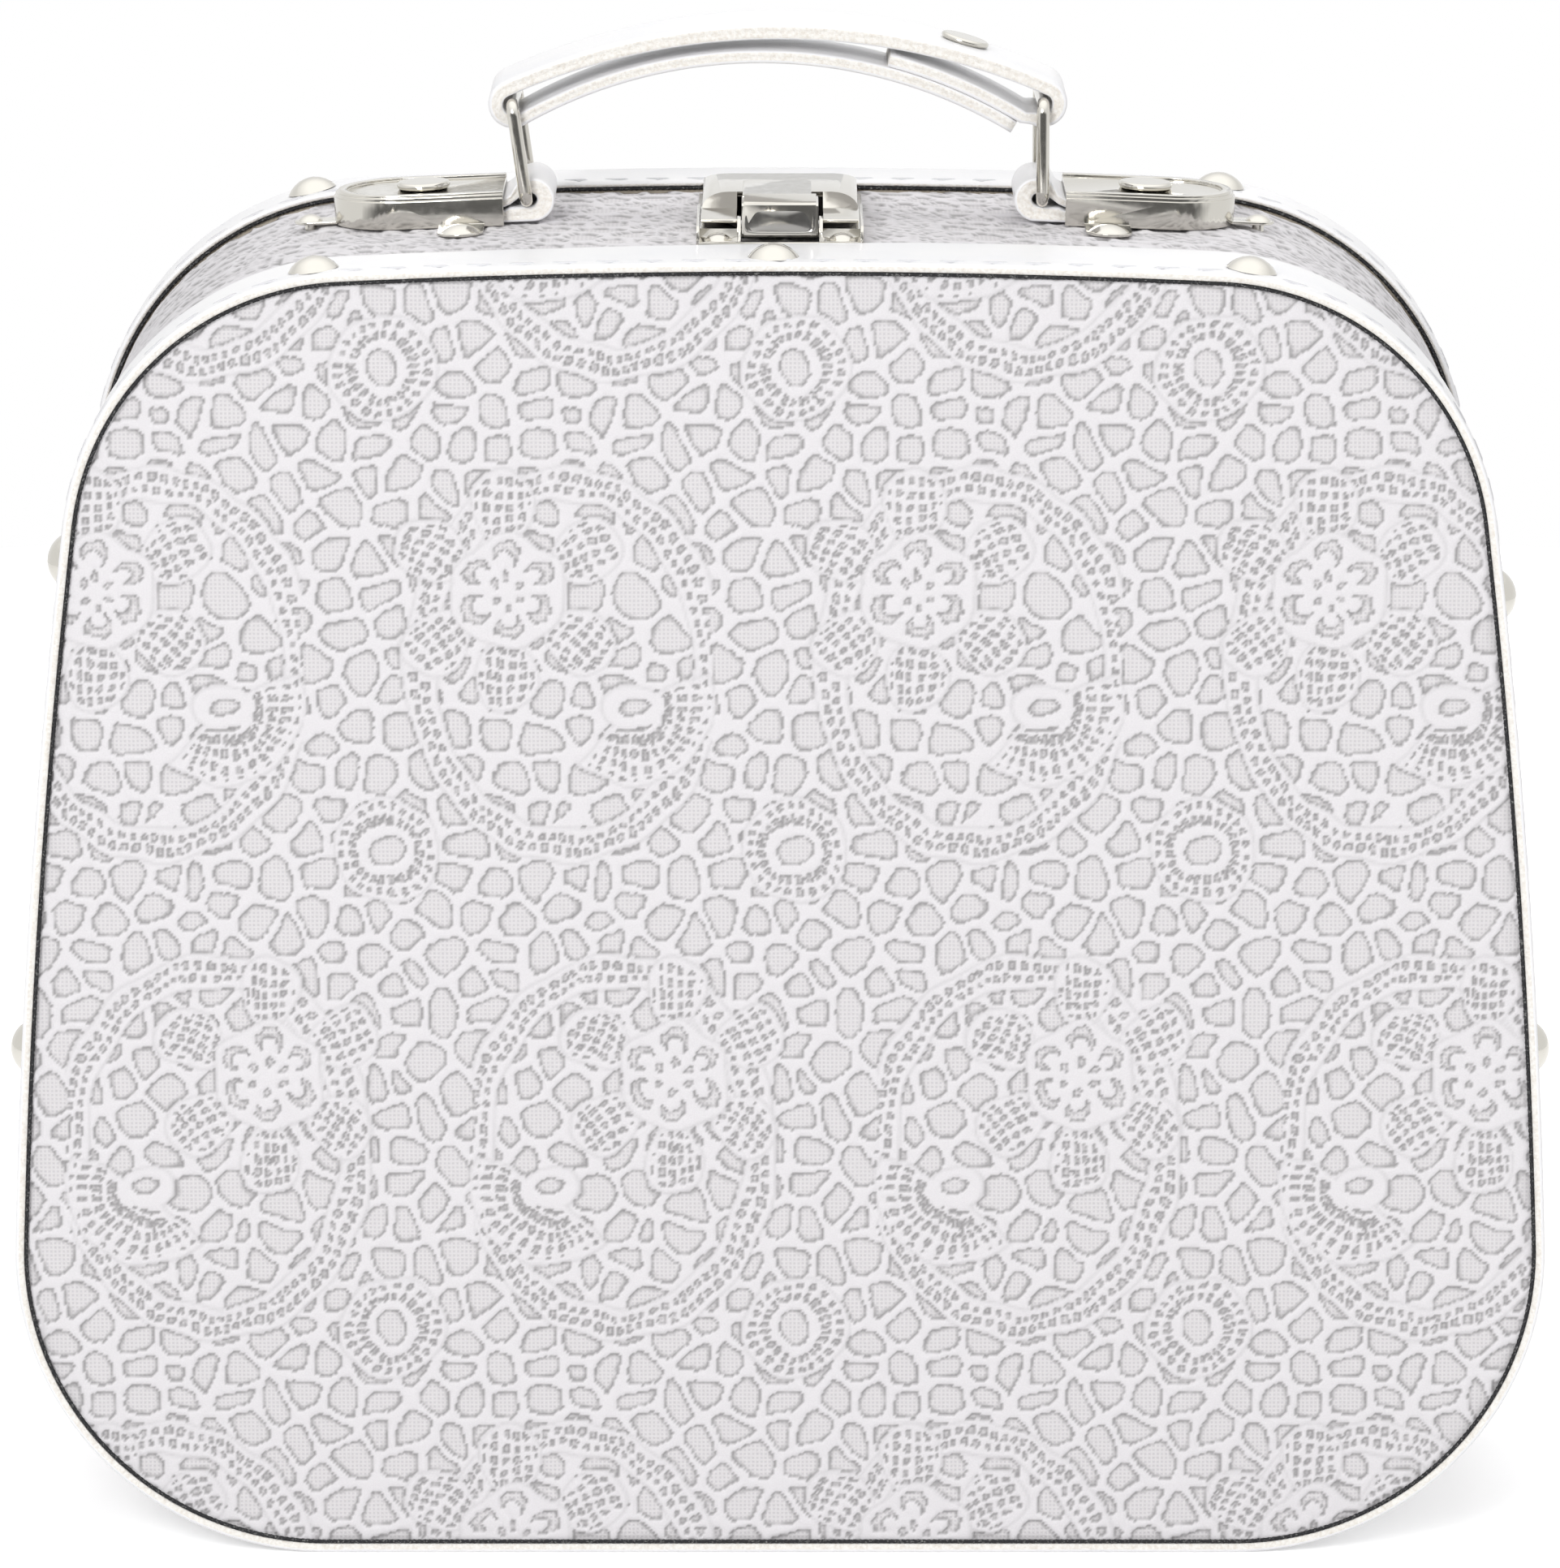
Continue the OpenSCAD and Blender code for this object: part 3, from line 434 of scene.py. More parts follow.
# ---------------------------------------------------------------------------
# Meshes
# ---------------------------------------------------------------------------
def mesh_object(
    name: str,
    points: np.ndarray,
    faces: Iterable[Sequence[int]],
    materials: Sequence[bpy.types.Material],
    face_materials: Sequence[int] | None = None,
    smooth: bool = True,
) -> bpy.types.Object:
    """Makes an object at the origin from points in millimetres.

    Args:
        name: The object's name.
        points: Corner positions, one row each.
        faces: Corner numbers of each face.
        materials: The object's material slots.
        face_materials: The slot of each face; slot 0 where it is left out.
        smooth: Whether the faces are shaded smooth.

    Returns:
        The linked object.
    """
    mesh = bpy.data.meshes.new(name)
    face_list = faces.tolist() if isinstance(faces, np.ndarray) else [list(f) for f in faces]
    mesh.from_pydata((np.asarray(points, float) * MM).tolist(), [], face_list)
    for material in materials:
        mesh.materials.append(material)
    if face_materials is not None:
        mesh.polygons.foreach_set("material_index", np.asarray(face_materials, np.int32))
    mesh.polygons.foreach_set("use_smooth", [smooth] * len(mesh.polygons))
    mesh.update()
    thing = bpy.data.objects.new(name, mesh)
    bpy.context.scene.collection.objects.link(thing)
    return thing


def outward(thing: bpy.types.Object) -> None:
    """Turns every face of a closed piece outwards.

    Args:
        thing: The piece.
    """
    work = bmesh.new()
    work.from_mesh(thing.data)
    bmesh.ops.recalc_face_normals(work, faces=work.faces)
    work.to_mesh(thing.data)
    work.free()


def grid_faces(rows: int, columns: int, wrap_rows: bool, wrap_columns: bool) -> np.ndarray:
    """Quads of a grid of points stored row by row.

    Args:
        rows: Number of rows.
        columns: Number of points in a row.
        wrap_rows: Whether the last row joins the first.
        wrap_columns: Whether each row is a loop.

    Returns:
        One row of four corner numbers for each quad.
    """
    down, across = np.arange(rows - (not wrap_rows)), np.arange(columns - (not wrap_columns))
    i, j = np.meshgrid(down, across, indexing="ij")
    below, right = (i + 1) % rows, (j + 1) % columns
    quads = [i * columns + j, i * columns + right, below * columns + right, below * columns + j]
    return np.stack(quads, axis=-1).reshape(-1, 4)


@dataclass
class Rail:
    """A closed line round the case in X and Z, with its outward normals.

    Attributes:
        base: Points at offset zero.
        normal: Outward unit normals.
        length: Distance along the line up to each point.
        squash: Maps finished X and Z; used by the lid, whose outline is pressed.
    """

    base: np.ndarray
    normal: np.ndarray
    length: np.ndarray
    squash: Callable[[np.ndarray], np.ndarray]

    def ring(self, offset: np.ndarray | float) -> np.ndarray:
        """The line at an outward offset."""
        offset = np.broadcast_to(np.asarray(offset, float), (len(self.base),))
        return self.squash(self.base + offset[:, None] * self.normal)

    @property
    def total(self) -> float:
        """The closed line's whole length."""
        return float(self.length[-1] + np.linalg.norm(self.base[0] - self.base[-1]))

    def sweep(self, section: np.ndarray, shift: np.ndarray) -> tuple[np.ndarray, np.ndarray]:
        """Sweeps a closed section of (offset, y) points round the line.

        Args:
            section: The section's points.
            shift: Extra (offset, y) for every rail point and section point.

        Returns:
            The points and quads of the closed body.
        """
        rows = len(section)
        places = section[None] + shift
        flat = self.base[:, None] + places[..., :1] * self.normal[:, None]
        flat = self.squash(flat.reshape(-1, 2)).reshape(len(self.base), rows, 2)
        points = np.stack([flat[..., 0], places[..., 1], flat[..., 1]], axis=-1)
        return points.reshape(-1, 3), grid_faces(len(self.base), rows, True, True)


@dataclass
class CaseShape:
    """The case outline and its places along Y, as in the solid model.

    Each corner and the side is an arc, given as its radius and its turn in
    degrees. The top is one more arc, whose radius follows from the others.
    """

    foot_half: float = 91.2
    low_corner: tuple[float, float] = (59.2, 92.28)
    side: tuple[float, float] = (1680.0, 5.01)
    top_corner: tuple[float, float] = (55.2, 80.0)
    foot_z: float = 2.4
    front_y: float = -56.25
    split_y: float = 39.95
    back_y: float = 56.25
    lid_proud: float = 3.6

    def __post_init__(self) -> None:
        """Works out the chain of arcs: centre, radius, first and last heading."""

        def out(turn: float) -> np.ndarray:
            """The outward direction at a heading of so many degrees."""
            return np.array([math.sin(math.radians(turn)), -math.cos(math.radians(turn))])

        heading, radius = 0.0, self.low_corner[0]
        centre = np.array([self.foot_half, radius])
        self.arcs: list[tuple[np.ndarray, float, float, float]] = []
        for new_radius, turn in (self.low_corner, self.side, self.top_corner):
            centre = centre + (radius - new_radius) * out(heading)
            radius = new_radius
            self.arcs.append((centre, radius, heading, heading + turn))
            heading += turn
        top_radius = radius + centre[0] / math.sin(math.radians(heading))
        self.arcs.append((centre + (radius - top_radius) * out(heading), top_radius, heading, 180.0))
        self.case_h = float(self.arcs[-1][0][1] + top_radius)
        self.crown_z = self.foot_z + self.case_h
        self.top_radius = top_radius

    def squash_lid(self, points: np.ndarray) -> np.ndarray:
        """Presses the outline in height, as the lid's is.

        Args:
            points: X and Z of the unpressed outline.

        Returns:
            The finished X and Z.
        """
        top = self.case_h + self.lid_proud
        press = (top + self.foot_z) / (top + self.lid_proud)
        return np.stack([points[:, 0], top - (top - points[:, 1]) * press + self.foot_z], axis=1)

    def lift(self, points: np.ndarray) -> np.ndarray:
        """Raises the outline to stand on its binding."""
        return points + np.array([0.0, self.foot_z])

    def rail(self, step: float, lid: bool = False) -> Rail:
        """The outline as a rail of nearly even steps.

        Args:
            step: Greatest distance between points.
            lid: Whether to press it as the lid's outline.

        Returns:
            The closed rail, from the foot's middle round by the right side.
        """
        count = max(2, math.ceil(self.foot_half / step))
        base = [np.array([self.foot_half * i / count, 0.0]) for i in range(count)]
        normal = [np.array([0.0, -1.0])] * count
        for centre, radius, first, last in self.arcs:
            count = max(2, math.ceil(radius * math.radians(last - first) / step))
            for i in range(count):
                t = math.radians(first + (last - first) * i / count)
                normal.append(np.array([math.sin(t), -math.cos(t)]))
                base.append(centre + radius * normal[-1])
        base.append(np.array([0.0, self.case_h]))
        normal.append(np.array([0.0, 1.0]))
        right, right_normal = np.array(base), np.array(normal)
        flip = np.array([-1.0, 1.0])
        base_all = np.concatenate([right, right[-2:0:-1] * flip])
        normal_all = np.concatenate([right_normal, right_normal[-2:0:-1] * flip])
        steps = np.linalg.norm(np.diff(base_all, axis=0), axis=1)
        length = np.concatenate([[0.0], np.cumsum(steps)])
        return Rail(base_all, normal_all, length, self.squash_lid if lid else self.lift)

    def top_z(self, x: float) -> float:
        """Height of the cord line's top at a given X."""
        return self.foot_z + self.arcs[-1][0][1] + math.sqrt(self.top_radius**2 - x * x)


# ---------------------------------------------------------------------------
# Copies of the solid model's parts with softened edges
# ---------------------------------------------------------------------------
@dataclass
class SoftEdges:
    """Makes a copy of a part of the solid model with rounded edges.

    Turns are in degrees: faces that turn less than `flat_turn` become one, and
    an edge that turns more than `sharp_turn` is rounded.
    """

    frame: dict
    finishes: Finishes
    flat_turn: float = 1.0
    sharp_turn: float = 25.0
    segments: int = 3

    def copy(self, node: str, body: str, width: float, above: float) -> bpy.types.Object:
        """Copies one part, rounds its edges and lets it stand for the part.

        Args:
            node: The part's name.
            body: The body it rides on.
            width: The rounding's width in millimetres.
            above: The height in millimetres below which edges stay sharp.

        Returns:
            The copy.
        """
        source = self.frame["nodes"][node]
        work = bmesh.new()
        work.from_mesh(source.data)
        bmesh.ops.remove_doubles(work, verts=work.verts, dist=MERGE_DISTANCE)
        flat = math.radians(self.flat_turn)
        bmesh.ops.dissolve_limit(work, angle_limit=flat, verts=work.verts, edges=work.edges)
        weight = work.edges.layers.float.new("bevel_weight_edge")
        sharp = math.radians(self.sharp_turn)
        for edge in work.edges:
            low = min(corner.co.z for corner in edge.verts)
            edge[weight] = float(edge.calc_face_angle(0.0) > sharp and low > above * MM)
        mesh = bpy.data.meshes.new(node + "_soft")
        work.to_mesh(mesh)
        work.free()
        thing = bpy.data.objects.new(node + "_soft", mesh)
        bpy.context.scene.collection.objects.link(thing)
        mesh.materials.clear()
        mesh.materials.append(self.finishes.nickel)
        mesh.polygons.foreach_set("use_smooth", [True] * len(mesh.polygons))
        bevel = thing.modifiers.new("edges", "BEVEL")
        bevel.width = width * MM
        bevel.segments = self.segments
        bevel.limit_method = "WEIGHT"
        bevel.harden_normals = True
        settle(thing)
        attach(thing, body)
        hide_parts(node)
        return thing


def settle(thing: bpy.types.Object) -> None:
    """Turns a piece's modifiers into plain mesh.

    Args:
        thing: The piece.
    """
    graph = bpy.context.evaluated_depsgraph_get()
    mesh = bpy.data.meshes.new_from_object(
        thing.evaluated_get(graph), preserve_all_data_layers=True, depsgraph=graph)
    old = thing.data
    thing.modifiers.clear()
    thing.data = mesh
    if old.users == 0:
        bpy.data.meshes.remove(old)


# ---------------------------------------------------------------------------
# Lace
# ---------------------------------------------------------------------------
FAR = 99.0  # a depth or distance in millimetres that never decides anything


@dataclass
class LacePattern:
    """A repeating guipure pattern: flowers, trellis leaves, ladder ovals and a net.

    Everything is a depth in millimetres: positive inside a hole of the lace,
    negative in its raised work. The motifs' own axes are u (right) and v (up).

    Attributes:
        period: Width of the tile that repeats.
        height: Its height.
        step: Distance between the tile's stored places.
        cell: Size of the net's cells.
        wall: Half the width of the net's bars.
        cell_corner: How round the cells' corners are.
        wander: How far the pattern is bent off its regular places.
        picot: Size of the bumps along the edges.
        groups: Middle of each group of motifs, and -1 where it is mirrored.
        leaf_angles: Directions of the leaves about a flower, in degrees.
        leaf_distance: From a flower's middle to a leaf's.
        border: Width of the solid edge of a motif's area.
        outline: Half the width of the line round a motif.
        seed: Seed of the random draws.
    """

    period: float = 80.65
    height: float = 195.0
    step: float = 0.3
    cell: float = 8.1
    wall: float = 0.75
    cell_corner: float = 0.55
    wander: float = 0.45
    picot: float = 0.55
    groups: tuple[tuple[tuple[float, float], float], ...] = (((0.0, 0.0), 1.0), ((32.4, -98.4), -1.0))
    leaf_angles: tuple[float, ...] = (92.0, 27.0, -35.0, -91.0, -144.0, 152.0)
    leaf_distance: float = 17.0
    border: float = 0.8
    outline: float = 0.45
    seed: int = 11

    def __post_init__(self) -> None:
        """Computes one tile of the pattern."""
        self.columns = round(self.period / self.step)
        self.rows = round(self.height / self.step)
        u = (np.arange(self.columns) + 0.5) * self.period / self.columns
        v = (np.arange(self.rows) + 0.5) * self.height / self.rows
        self.u, self.v = np.meshgrid(u, v)
        bend_u = self.wander * np.sin(2 * math.pi * (5 * self.u / self.period + 7 * self.v / self.height))
        bend_v = self.wander * np.cos(2 * math.pi * (6 * self.u / self.period - 11 * self.v / self.height))
        self.wu, self.wv = self.u + bend_u, self.v + bend_v
        hole, line = self.net(), np.zeros_like(self.u)
        for centre, flip in self.groups:
            for area, inner in self.motif(centre, flip):
                within, around = np.minimum(inner, area - self.border), np.minimum(hole, -area - 0.1)
                hole = np.where(area > 0.0, within, around)
                edge = np.clip(1.0 - np.abs(area) / self.outline, 0.0, 1.0)
                line = np.maximum(np.where(area > 0.5, 0.0, line), edge)
        self.hole = hole + self.picots()
        self.line = line
        self.slope_v, self.slope_u = np.gradient(self.smooth(self.hole), self.height / self.rows,
                                                 self.period / self.columns)

    @staticmethod
    def smooth(field_: np.ndarray) -> np.ndarray:
        """Averages a periodic field over its nearest neighbours.

        Args:
            field_: One value for each stored place.

        Returns:
            The averaged field.
        """
        total = field_ * 2.0
        for axis in (0, 1):
            for shift in (-1, 1):
                total = total + np.roll(field_, shift, axis)
        return total / 6.0

    def picots(self) -> np.ndarray:
        """The small bumps along every edge.

        Returns:
            The depth that they add at each stored place.
        """
        rng = np.random.default_rng(self.seed)
        coarse = rng.random((self.rows // 3, self.columns // 3)) - 0.5
        rows = np.arange(self.rows) * coarse.shape[0] // self.rows
        columns = np.arange(self.columns) * coarse.shape[1] // self.columns
        return self.smooth(self.smooth(coarse[rows][:, columns])) * self.picot

    def net(self) -> np.ndarray:
        """Cells of an irregular net.

        Returns:
            The distance to the edge of the nearest bar at each stored place.
        """
        rng = np.random.default_rng(self.seed + 1)
        across = round(self.period / self.cell)
        up = round(self.height / (self.cell * 0.9))
        places = []
        for row in range(up):
            for column in range(across):
                jitter = rng.random(2) - 0.5
                places.append(((column + 0.5 * (row % 2) + 0.74 * jitter[0]) * self.period / across,
                               (row + 0.74 * jitter[1]) * self.height / up))
        seeds = np.array(places)
        blocks = np.array_split(np.arange(self.rows), 40)
        return np.concatenate([self.cells(self.wu[rows], self.wv[rows], seeds) for rows in blocks])

    def cells(self, u: np.ndarray, v: np.ndarray, seeds: np.ndarray) -> np.ndarray:
        """Depth inside the net's cells at some places.

        Args:
            u: Places to the right.
            v: Places upwards.
            seeds: The cells' middles.

        Returns:
            The depth, with the cells' corners rounded.
        """
        du = (u[None] - seeds[:, 0, None, None] + self.period / 2) % self.period - self.period / 2
        dv = (v[None] - seeds[:, 1, None, None] + self.height / 2) % self.height - self.height / 2
        order = np.argpartition(du**2 + dv**2, 4, axis=0)[:5]
        near_u, near_v = np.take_along_axis(du, order, 0), np.take_along_axis(dv, order, 0)
        square = near_u**2 + near_v**2
        first = np.argmin(square, axis=0)[None]
        own_u, own_v = np.take_along_axis(near_u, first, 0), np.take_along_axis(near_v, first, 0)
        own = np.take_along_axis(square, first, 0)
        apart = np.hypot(near_u - own_u, near_v - own_v)
        border = np.where(apart > 1e-6, (square - own) / (2 * np.maximum(apart, 1e-6)), FAR)
        rounded = -np.log(np.exp(-border / self.cell_corner).sum(axis=0)) * self.cell_corner
        return rounded - self.wall

    def local(self, centre: tuple[float, float], flip: float) -> tuple[np.ndarray, np.ndarray]:
        """Coordinates about a motif's centre, wrapped round the tile.

        Args:
            centre: The motif's centre.
            flip: -1 for a mirrored motif, else 1.

        Returns:
            Distances to the right and upwards.
        """
        u = (self.wu - centre[0] + self.period / 2) % self.period - self.period / 2
        v = (self.wv - centre[1] + self.height / 2) % self.height - self.height / 2
        return u * flip, v

    def motif(self, centre: tuple[float, float], flip: float) -> Iterable[tuple[np.ndarray, np.ndarray]]:
        """Draws each form of a group of motifs.

        Args:
            centre: The group's centre.
            flip: -1 for a mirrored group, else 1.

        Yields:
            The depth inside the form's area, and inside its holes.
        """
        u, v = self.local(centre, flip)
        yield self.ladder(u - 11.2, v + 14.9, 28.4, 36.4, 84)
        yield self.fan(u - 24.6, v + 23.0, (5.8, 4.4), (3.0, 1.9), 16.0, -135.0, 25.0)
        yield self.fan(u + 24.1, v + 52.2, (4.9, 4.9), (3.4, 3.4), 10.5, -180.0, 180.0)
        for angle in self.leaf_angles:
            yield self.leaf(u, v, angle)
        yield self.flower(u, v)

    @staticmethod
    def box(a: np.ndarray, b: np.ndarray, half_a: float, half_b: float, corner: float = 0.3) -> np.ndarray:
        """Depth inside a box with round corners.

        Args:
            a: Distance from its middle one way.
            b: Distance from its middle the other way.
            half_a: Half its size along a.
            half_b: Half its size along b.
            corner: Radius of its corners.

        Returns:
            The depth.
        """
        da, db = np.abs(a) - half_a + corner, np.abs(b) - half_b + corner
        outside = np.hypot(np.maximum(da, 0), np.maximum(db, 0))
        return corner - outside - np.minimum(np.maximum(da, db), 0)

    @staticmethod
    def repeat(value: np.ndarray, pitch: float) -> np.ndarray:
        """Distance from the middle of the nearest repeat."""
        return (value + pitch / 2) % pitch - pitch / 2

    def ladder(
        self, u: np.ndarray, v: np.ndarray, a: float, b: float, rungs: int, half_band: float = 3.3,
    ) -> tuple[np.ndarray, np.ndarray]:
        """An oval band with two rows of small holes.

        Args:
            u: Distance to the right of its middle.
            v: Distance above its middle.
            a: The oval's half width.
            b: The oval's half height.
            rungs: Number of holes in a row.
            half_band: Half the band's width.

        Returns:
            The depth inside its area, and inside its holes.
        """
        q = np.maximum(np.hypot(u / a, v / b), 1e-6)
        off = (q - 1.0) * q / np.maximum(np.hypot(u / a**2, v / b**2), 1e-6)
        along = np.arctan2(v / b, u / a)
        round_length = math.pi * (a + b)
        s = along / (2 * math.pi) * round_length
        pitch = round_length / rungs
        outer = self.box(self.repeat(s, pitch), off - 1.2, pitch / 2 - 0.45, 0.85)
        inner = self.box(self.repeat(s + pitch / 2, pitch), off + 1.2, pitch / 2 - 0.5, 0.7)
        return half_band - np.abs(off), np.maximum(outer, inner)

    def fan(self, u: np.ndarray, v: np.ndarray, rim: tuple, hole: tuple, reach: float,
            first: float, last: float) -> tuple[np.ndarray, np.ndarray]:
        """An eyelet with rays of holes round part of it.

        Args:
            u: Distance to the right of its middle.
            v: Distance above its middle.
            rim: The eyelet's half width and half height.
            hole: The same of its hole.
            reach: Length of the rays from the middle.
            first: Where the rays start, in degrees.
            last: Where they end.

        Returns:
            The depth inside its area, and inside its holes.
        """
        radius = np.hypot(u, v)
        angle = np.degrees(np.arctan2(v, u))
        middle, half = math.radians((first + last) / 2), math.radians((last - first) / 2)
        turn = (np.radians(angle) - middle + math.pi) % (2 * math.pi) - math.pi
        whole = last - first >= 359.0
        side = np.full_like(u, FAR) if whole else (half - np.abs(turn)) * np.maximum(radius, 1e-6)
        oval = (1.0 - np.hypot(u / rim[0], v / rim[1])) * min(rim)
        eyelet = (1.0 - np.hypot(u / hole[0], v / hole[1])) * min(hole)
        wedge = np.minimum(reach - radius, side)
        area = np.maximum(oval, wedge)
        rays = max(8, round(2 * half * (reach + rim[0]) / 2 / 2.0))
        pitch = 2 * half / rays
        ray = self.repeat(turn + half + pitch / 2, pitch) * radius
        ring = self.repeat(radius - rim[0] - 1.5, 2.7)
        holes = self.box(ring, ray, 0.95, 0.55)
        holes = np.minimum(holes, np.minimum(wedge - 1.0, -oval - 0.5))
        return area, np.maximum(holes, eyelet)

    def leaf(self, u: np.ndarray, v: np.ndarray, angle: float) -> tuple[np.ndarray, np.ndarray]:
        """A leaf of trellis work beside the flower.

        Args:
            u: Distance to the right of the flower's middle.
            v: Distance above the flower's middle.
            angle: The leaf's direction in degrees.

        Returns:
            The depth inside its area, and inside its holes.
        """
        t = math.radians(angle)
        p = u * math.cos(t) + v * math.sin(t) - self.leaf_distance
        q = -u * math.sin(t) + v * math.cos(t)
        wide = 6.0 + 0.13 * p
        area = (1.0 - np.hypot(p / 7.3, q / wide)) * 6.2
        holes = self.box(self.repeat(p, 2.45), self.repeat(q + 1.0, 2.05), 0.8, 0.62)
        return area, np.minimum(holes, area - 0.9)

    def flower(self, u: np.ndarray, v: np.ndarray) -> tuple[np.ndarray, np.ndarray]:
        """A six-petalled flower: a scalloped eyelet round a dot in each petal.

        Args:
            u: Distance to the right of its middle.
            v: Distance above its middle.

        Returns:
            The depth inside its area, and inside its holes.
        """
        radius, angle = np.hypot(u, v), np.arctan2(v, u)
        petal = (angle - math.radians(30.0) + math.pi / 6) % (math.pi / 3) - math.pi / 6
        scallop = 0.2 * np.cos(angle * 30.0)
        pu, pv = radius * np.cos(petal), radius * np.sin(petal)
        eyelet = 2.75 + scallop - np.hypot((pu - 7.3) / 0.95, pv)
        dot = np.hypot(pu - 5.9, pv) - 1.65
        between = (angle + math.pi / 6) % (math.pi / 3) - math.pi / 6
        small = 0.95 - np.hypot(radius * np.cos(petal) - 3.1, radius * np.sin(petal) * 1.25)
        area = 11.2 + 0.5 * np.cos(angle * 6.0 - math.pi) - radius
        web = 0.35 - np.abs(between * radius)
        return area, np.maximum(np.minimum(np.minimum(eyelet, dot), -web), small)

    def sample(self, u: np.ndarray, v: np.ndarray) -> list[np.ndarray]:
        """Depth and slopes of the pattern at any places.

        Args:
            u: Places to the right, in millimetres.
            v: Places upwards, in millimetres.

        Returns:
            Depth, its slope along u and along v, and the motifs' outlines.
        """
        x = (u / self.period * self.columns - 0.5) % self.columns
        y = (v / self.height * self.rows - 0.5) % self.rows
        i, j = np.floor(y).astype(int), np.floor(x).astype(int)
        fy, fx = y - i, x - j
        i, j = i % self.rows, j % self.columns
        i2, j2 = (i + 1) % self.rows, (j + 1) % self.columns
        values = []
        for table in (self.hole, self.slope_u, self.slope_v, self.line):
            top = table[i, j] * (1 - fx) + table[i, j2] * fx
            low = table[i2, j] * (1 - fx) + table[i2, j2] * fx
            values.append(top * (1 - fy) + low * fy)
        return values


@dataclass
class LaceSheet:
    """Grid points of a lace surface, drawn towards the pattern's edges.

    Attributes:
        pattern: The pattern to follow.
        cell: Distance between grid points.
        relief: Height of the raised work over the ground.
        edge: Half the width of the flank between the ground and the raised work.
        shoulder: How softly the raised work rounds off.
    """

    pattern: LacePattern
    cell: float
    relief: float = 0.5
    edge: float = 0.1
    shoulder: float = 0.45

    def settle_points(self, u: np.ndarray, v: np.ndarray) -> tuple[np.ndarray, ...]:
        """Moves grid points towards the nearest edge and gives their relief.

        Args:
            u: Grid places to the right.
            v: Grid places upwards.

        Returns:
            New u, new v, height over the ground, whether a point is raised, and
            how much painted shade it gets at an edge or along an outline.
        """
        depth, slope_u, slope_v, line = self.pattern.sample(u, v)
        steep = np.maximum(np.hypot(slope_u, slope_v), 0.35)
        reach = 0.62 * self.cell
        near = np.abs(depth) < reach
        wanted = np.sign(depth) * (self.edge + (np.abs(depth) / reach) ** 2 * (reach - self.edge))
        move = np.where(near, wanted - depth, 0.0) / steep
        limit = 0.45 * self.cell
        move = np.clip(move, -limit, limit)
        new_u, new_v = u + move * slope_u / steep, v + move * slope_v / steep
        depth = np.where(near, wanted, depth)
        raised = depth < 0
        crest = 1.0 - 0.45 * np.exp(depth / self.shoulder) - 0.2 * line
        height = np.where(raised, crest, 0.0) * self.relief
        # Painted shade: rim darkens the ground beside the raised work and, more faintly, the outlines on the
        # raised work.
        rim = np.where(raised, 0.28 * line, np.clip(1.15 - depth / 0.7, 0.0, 1.0))
        return new_u, new_v, height, raised.astype(float), rim


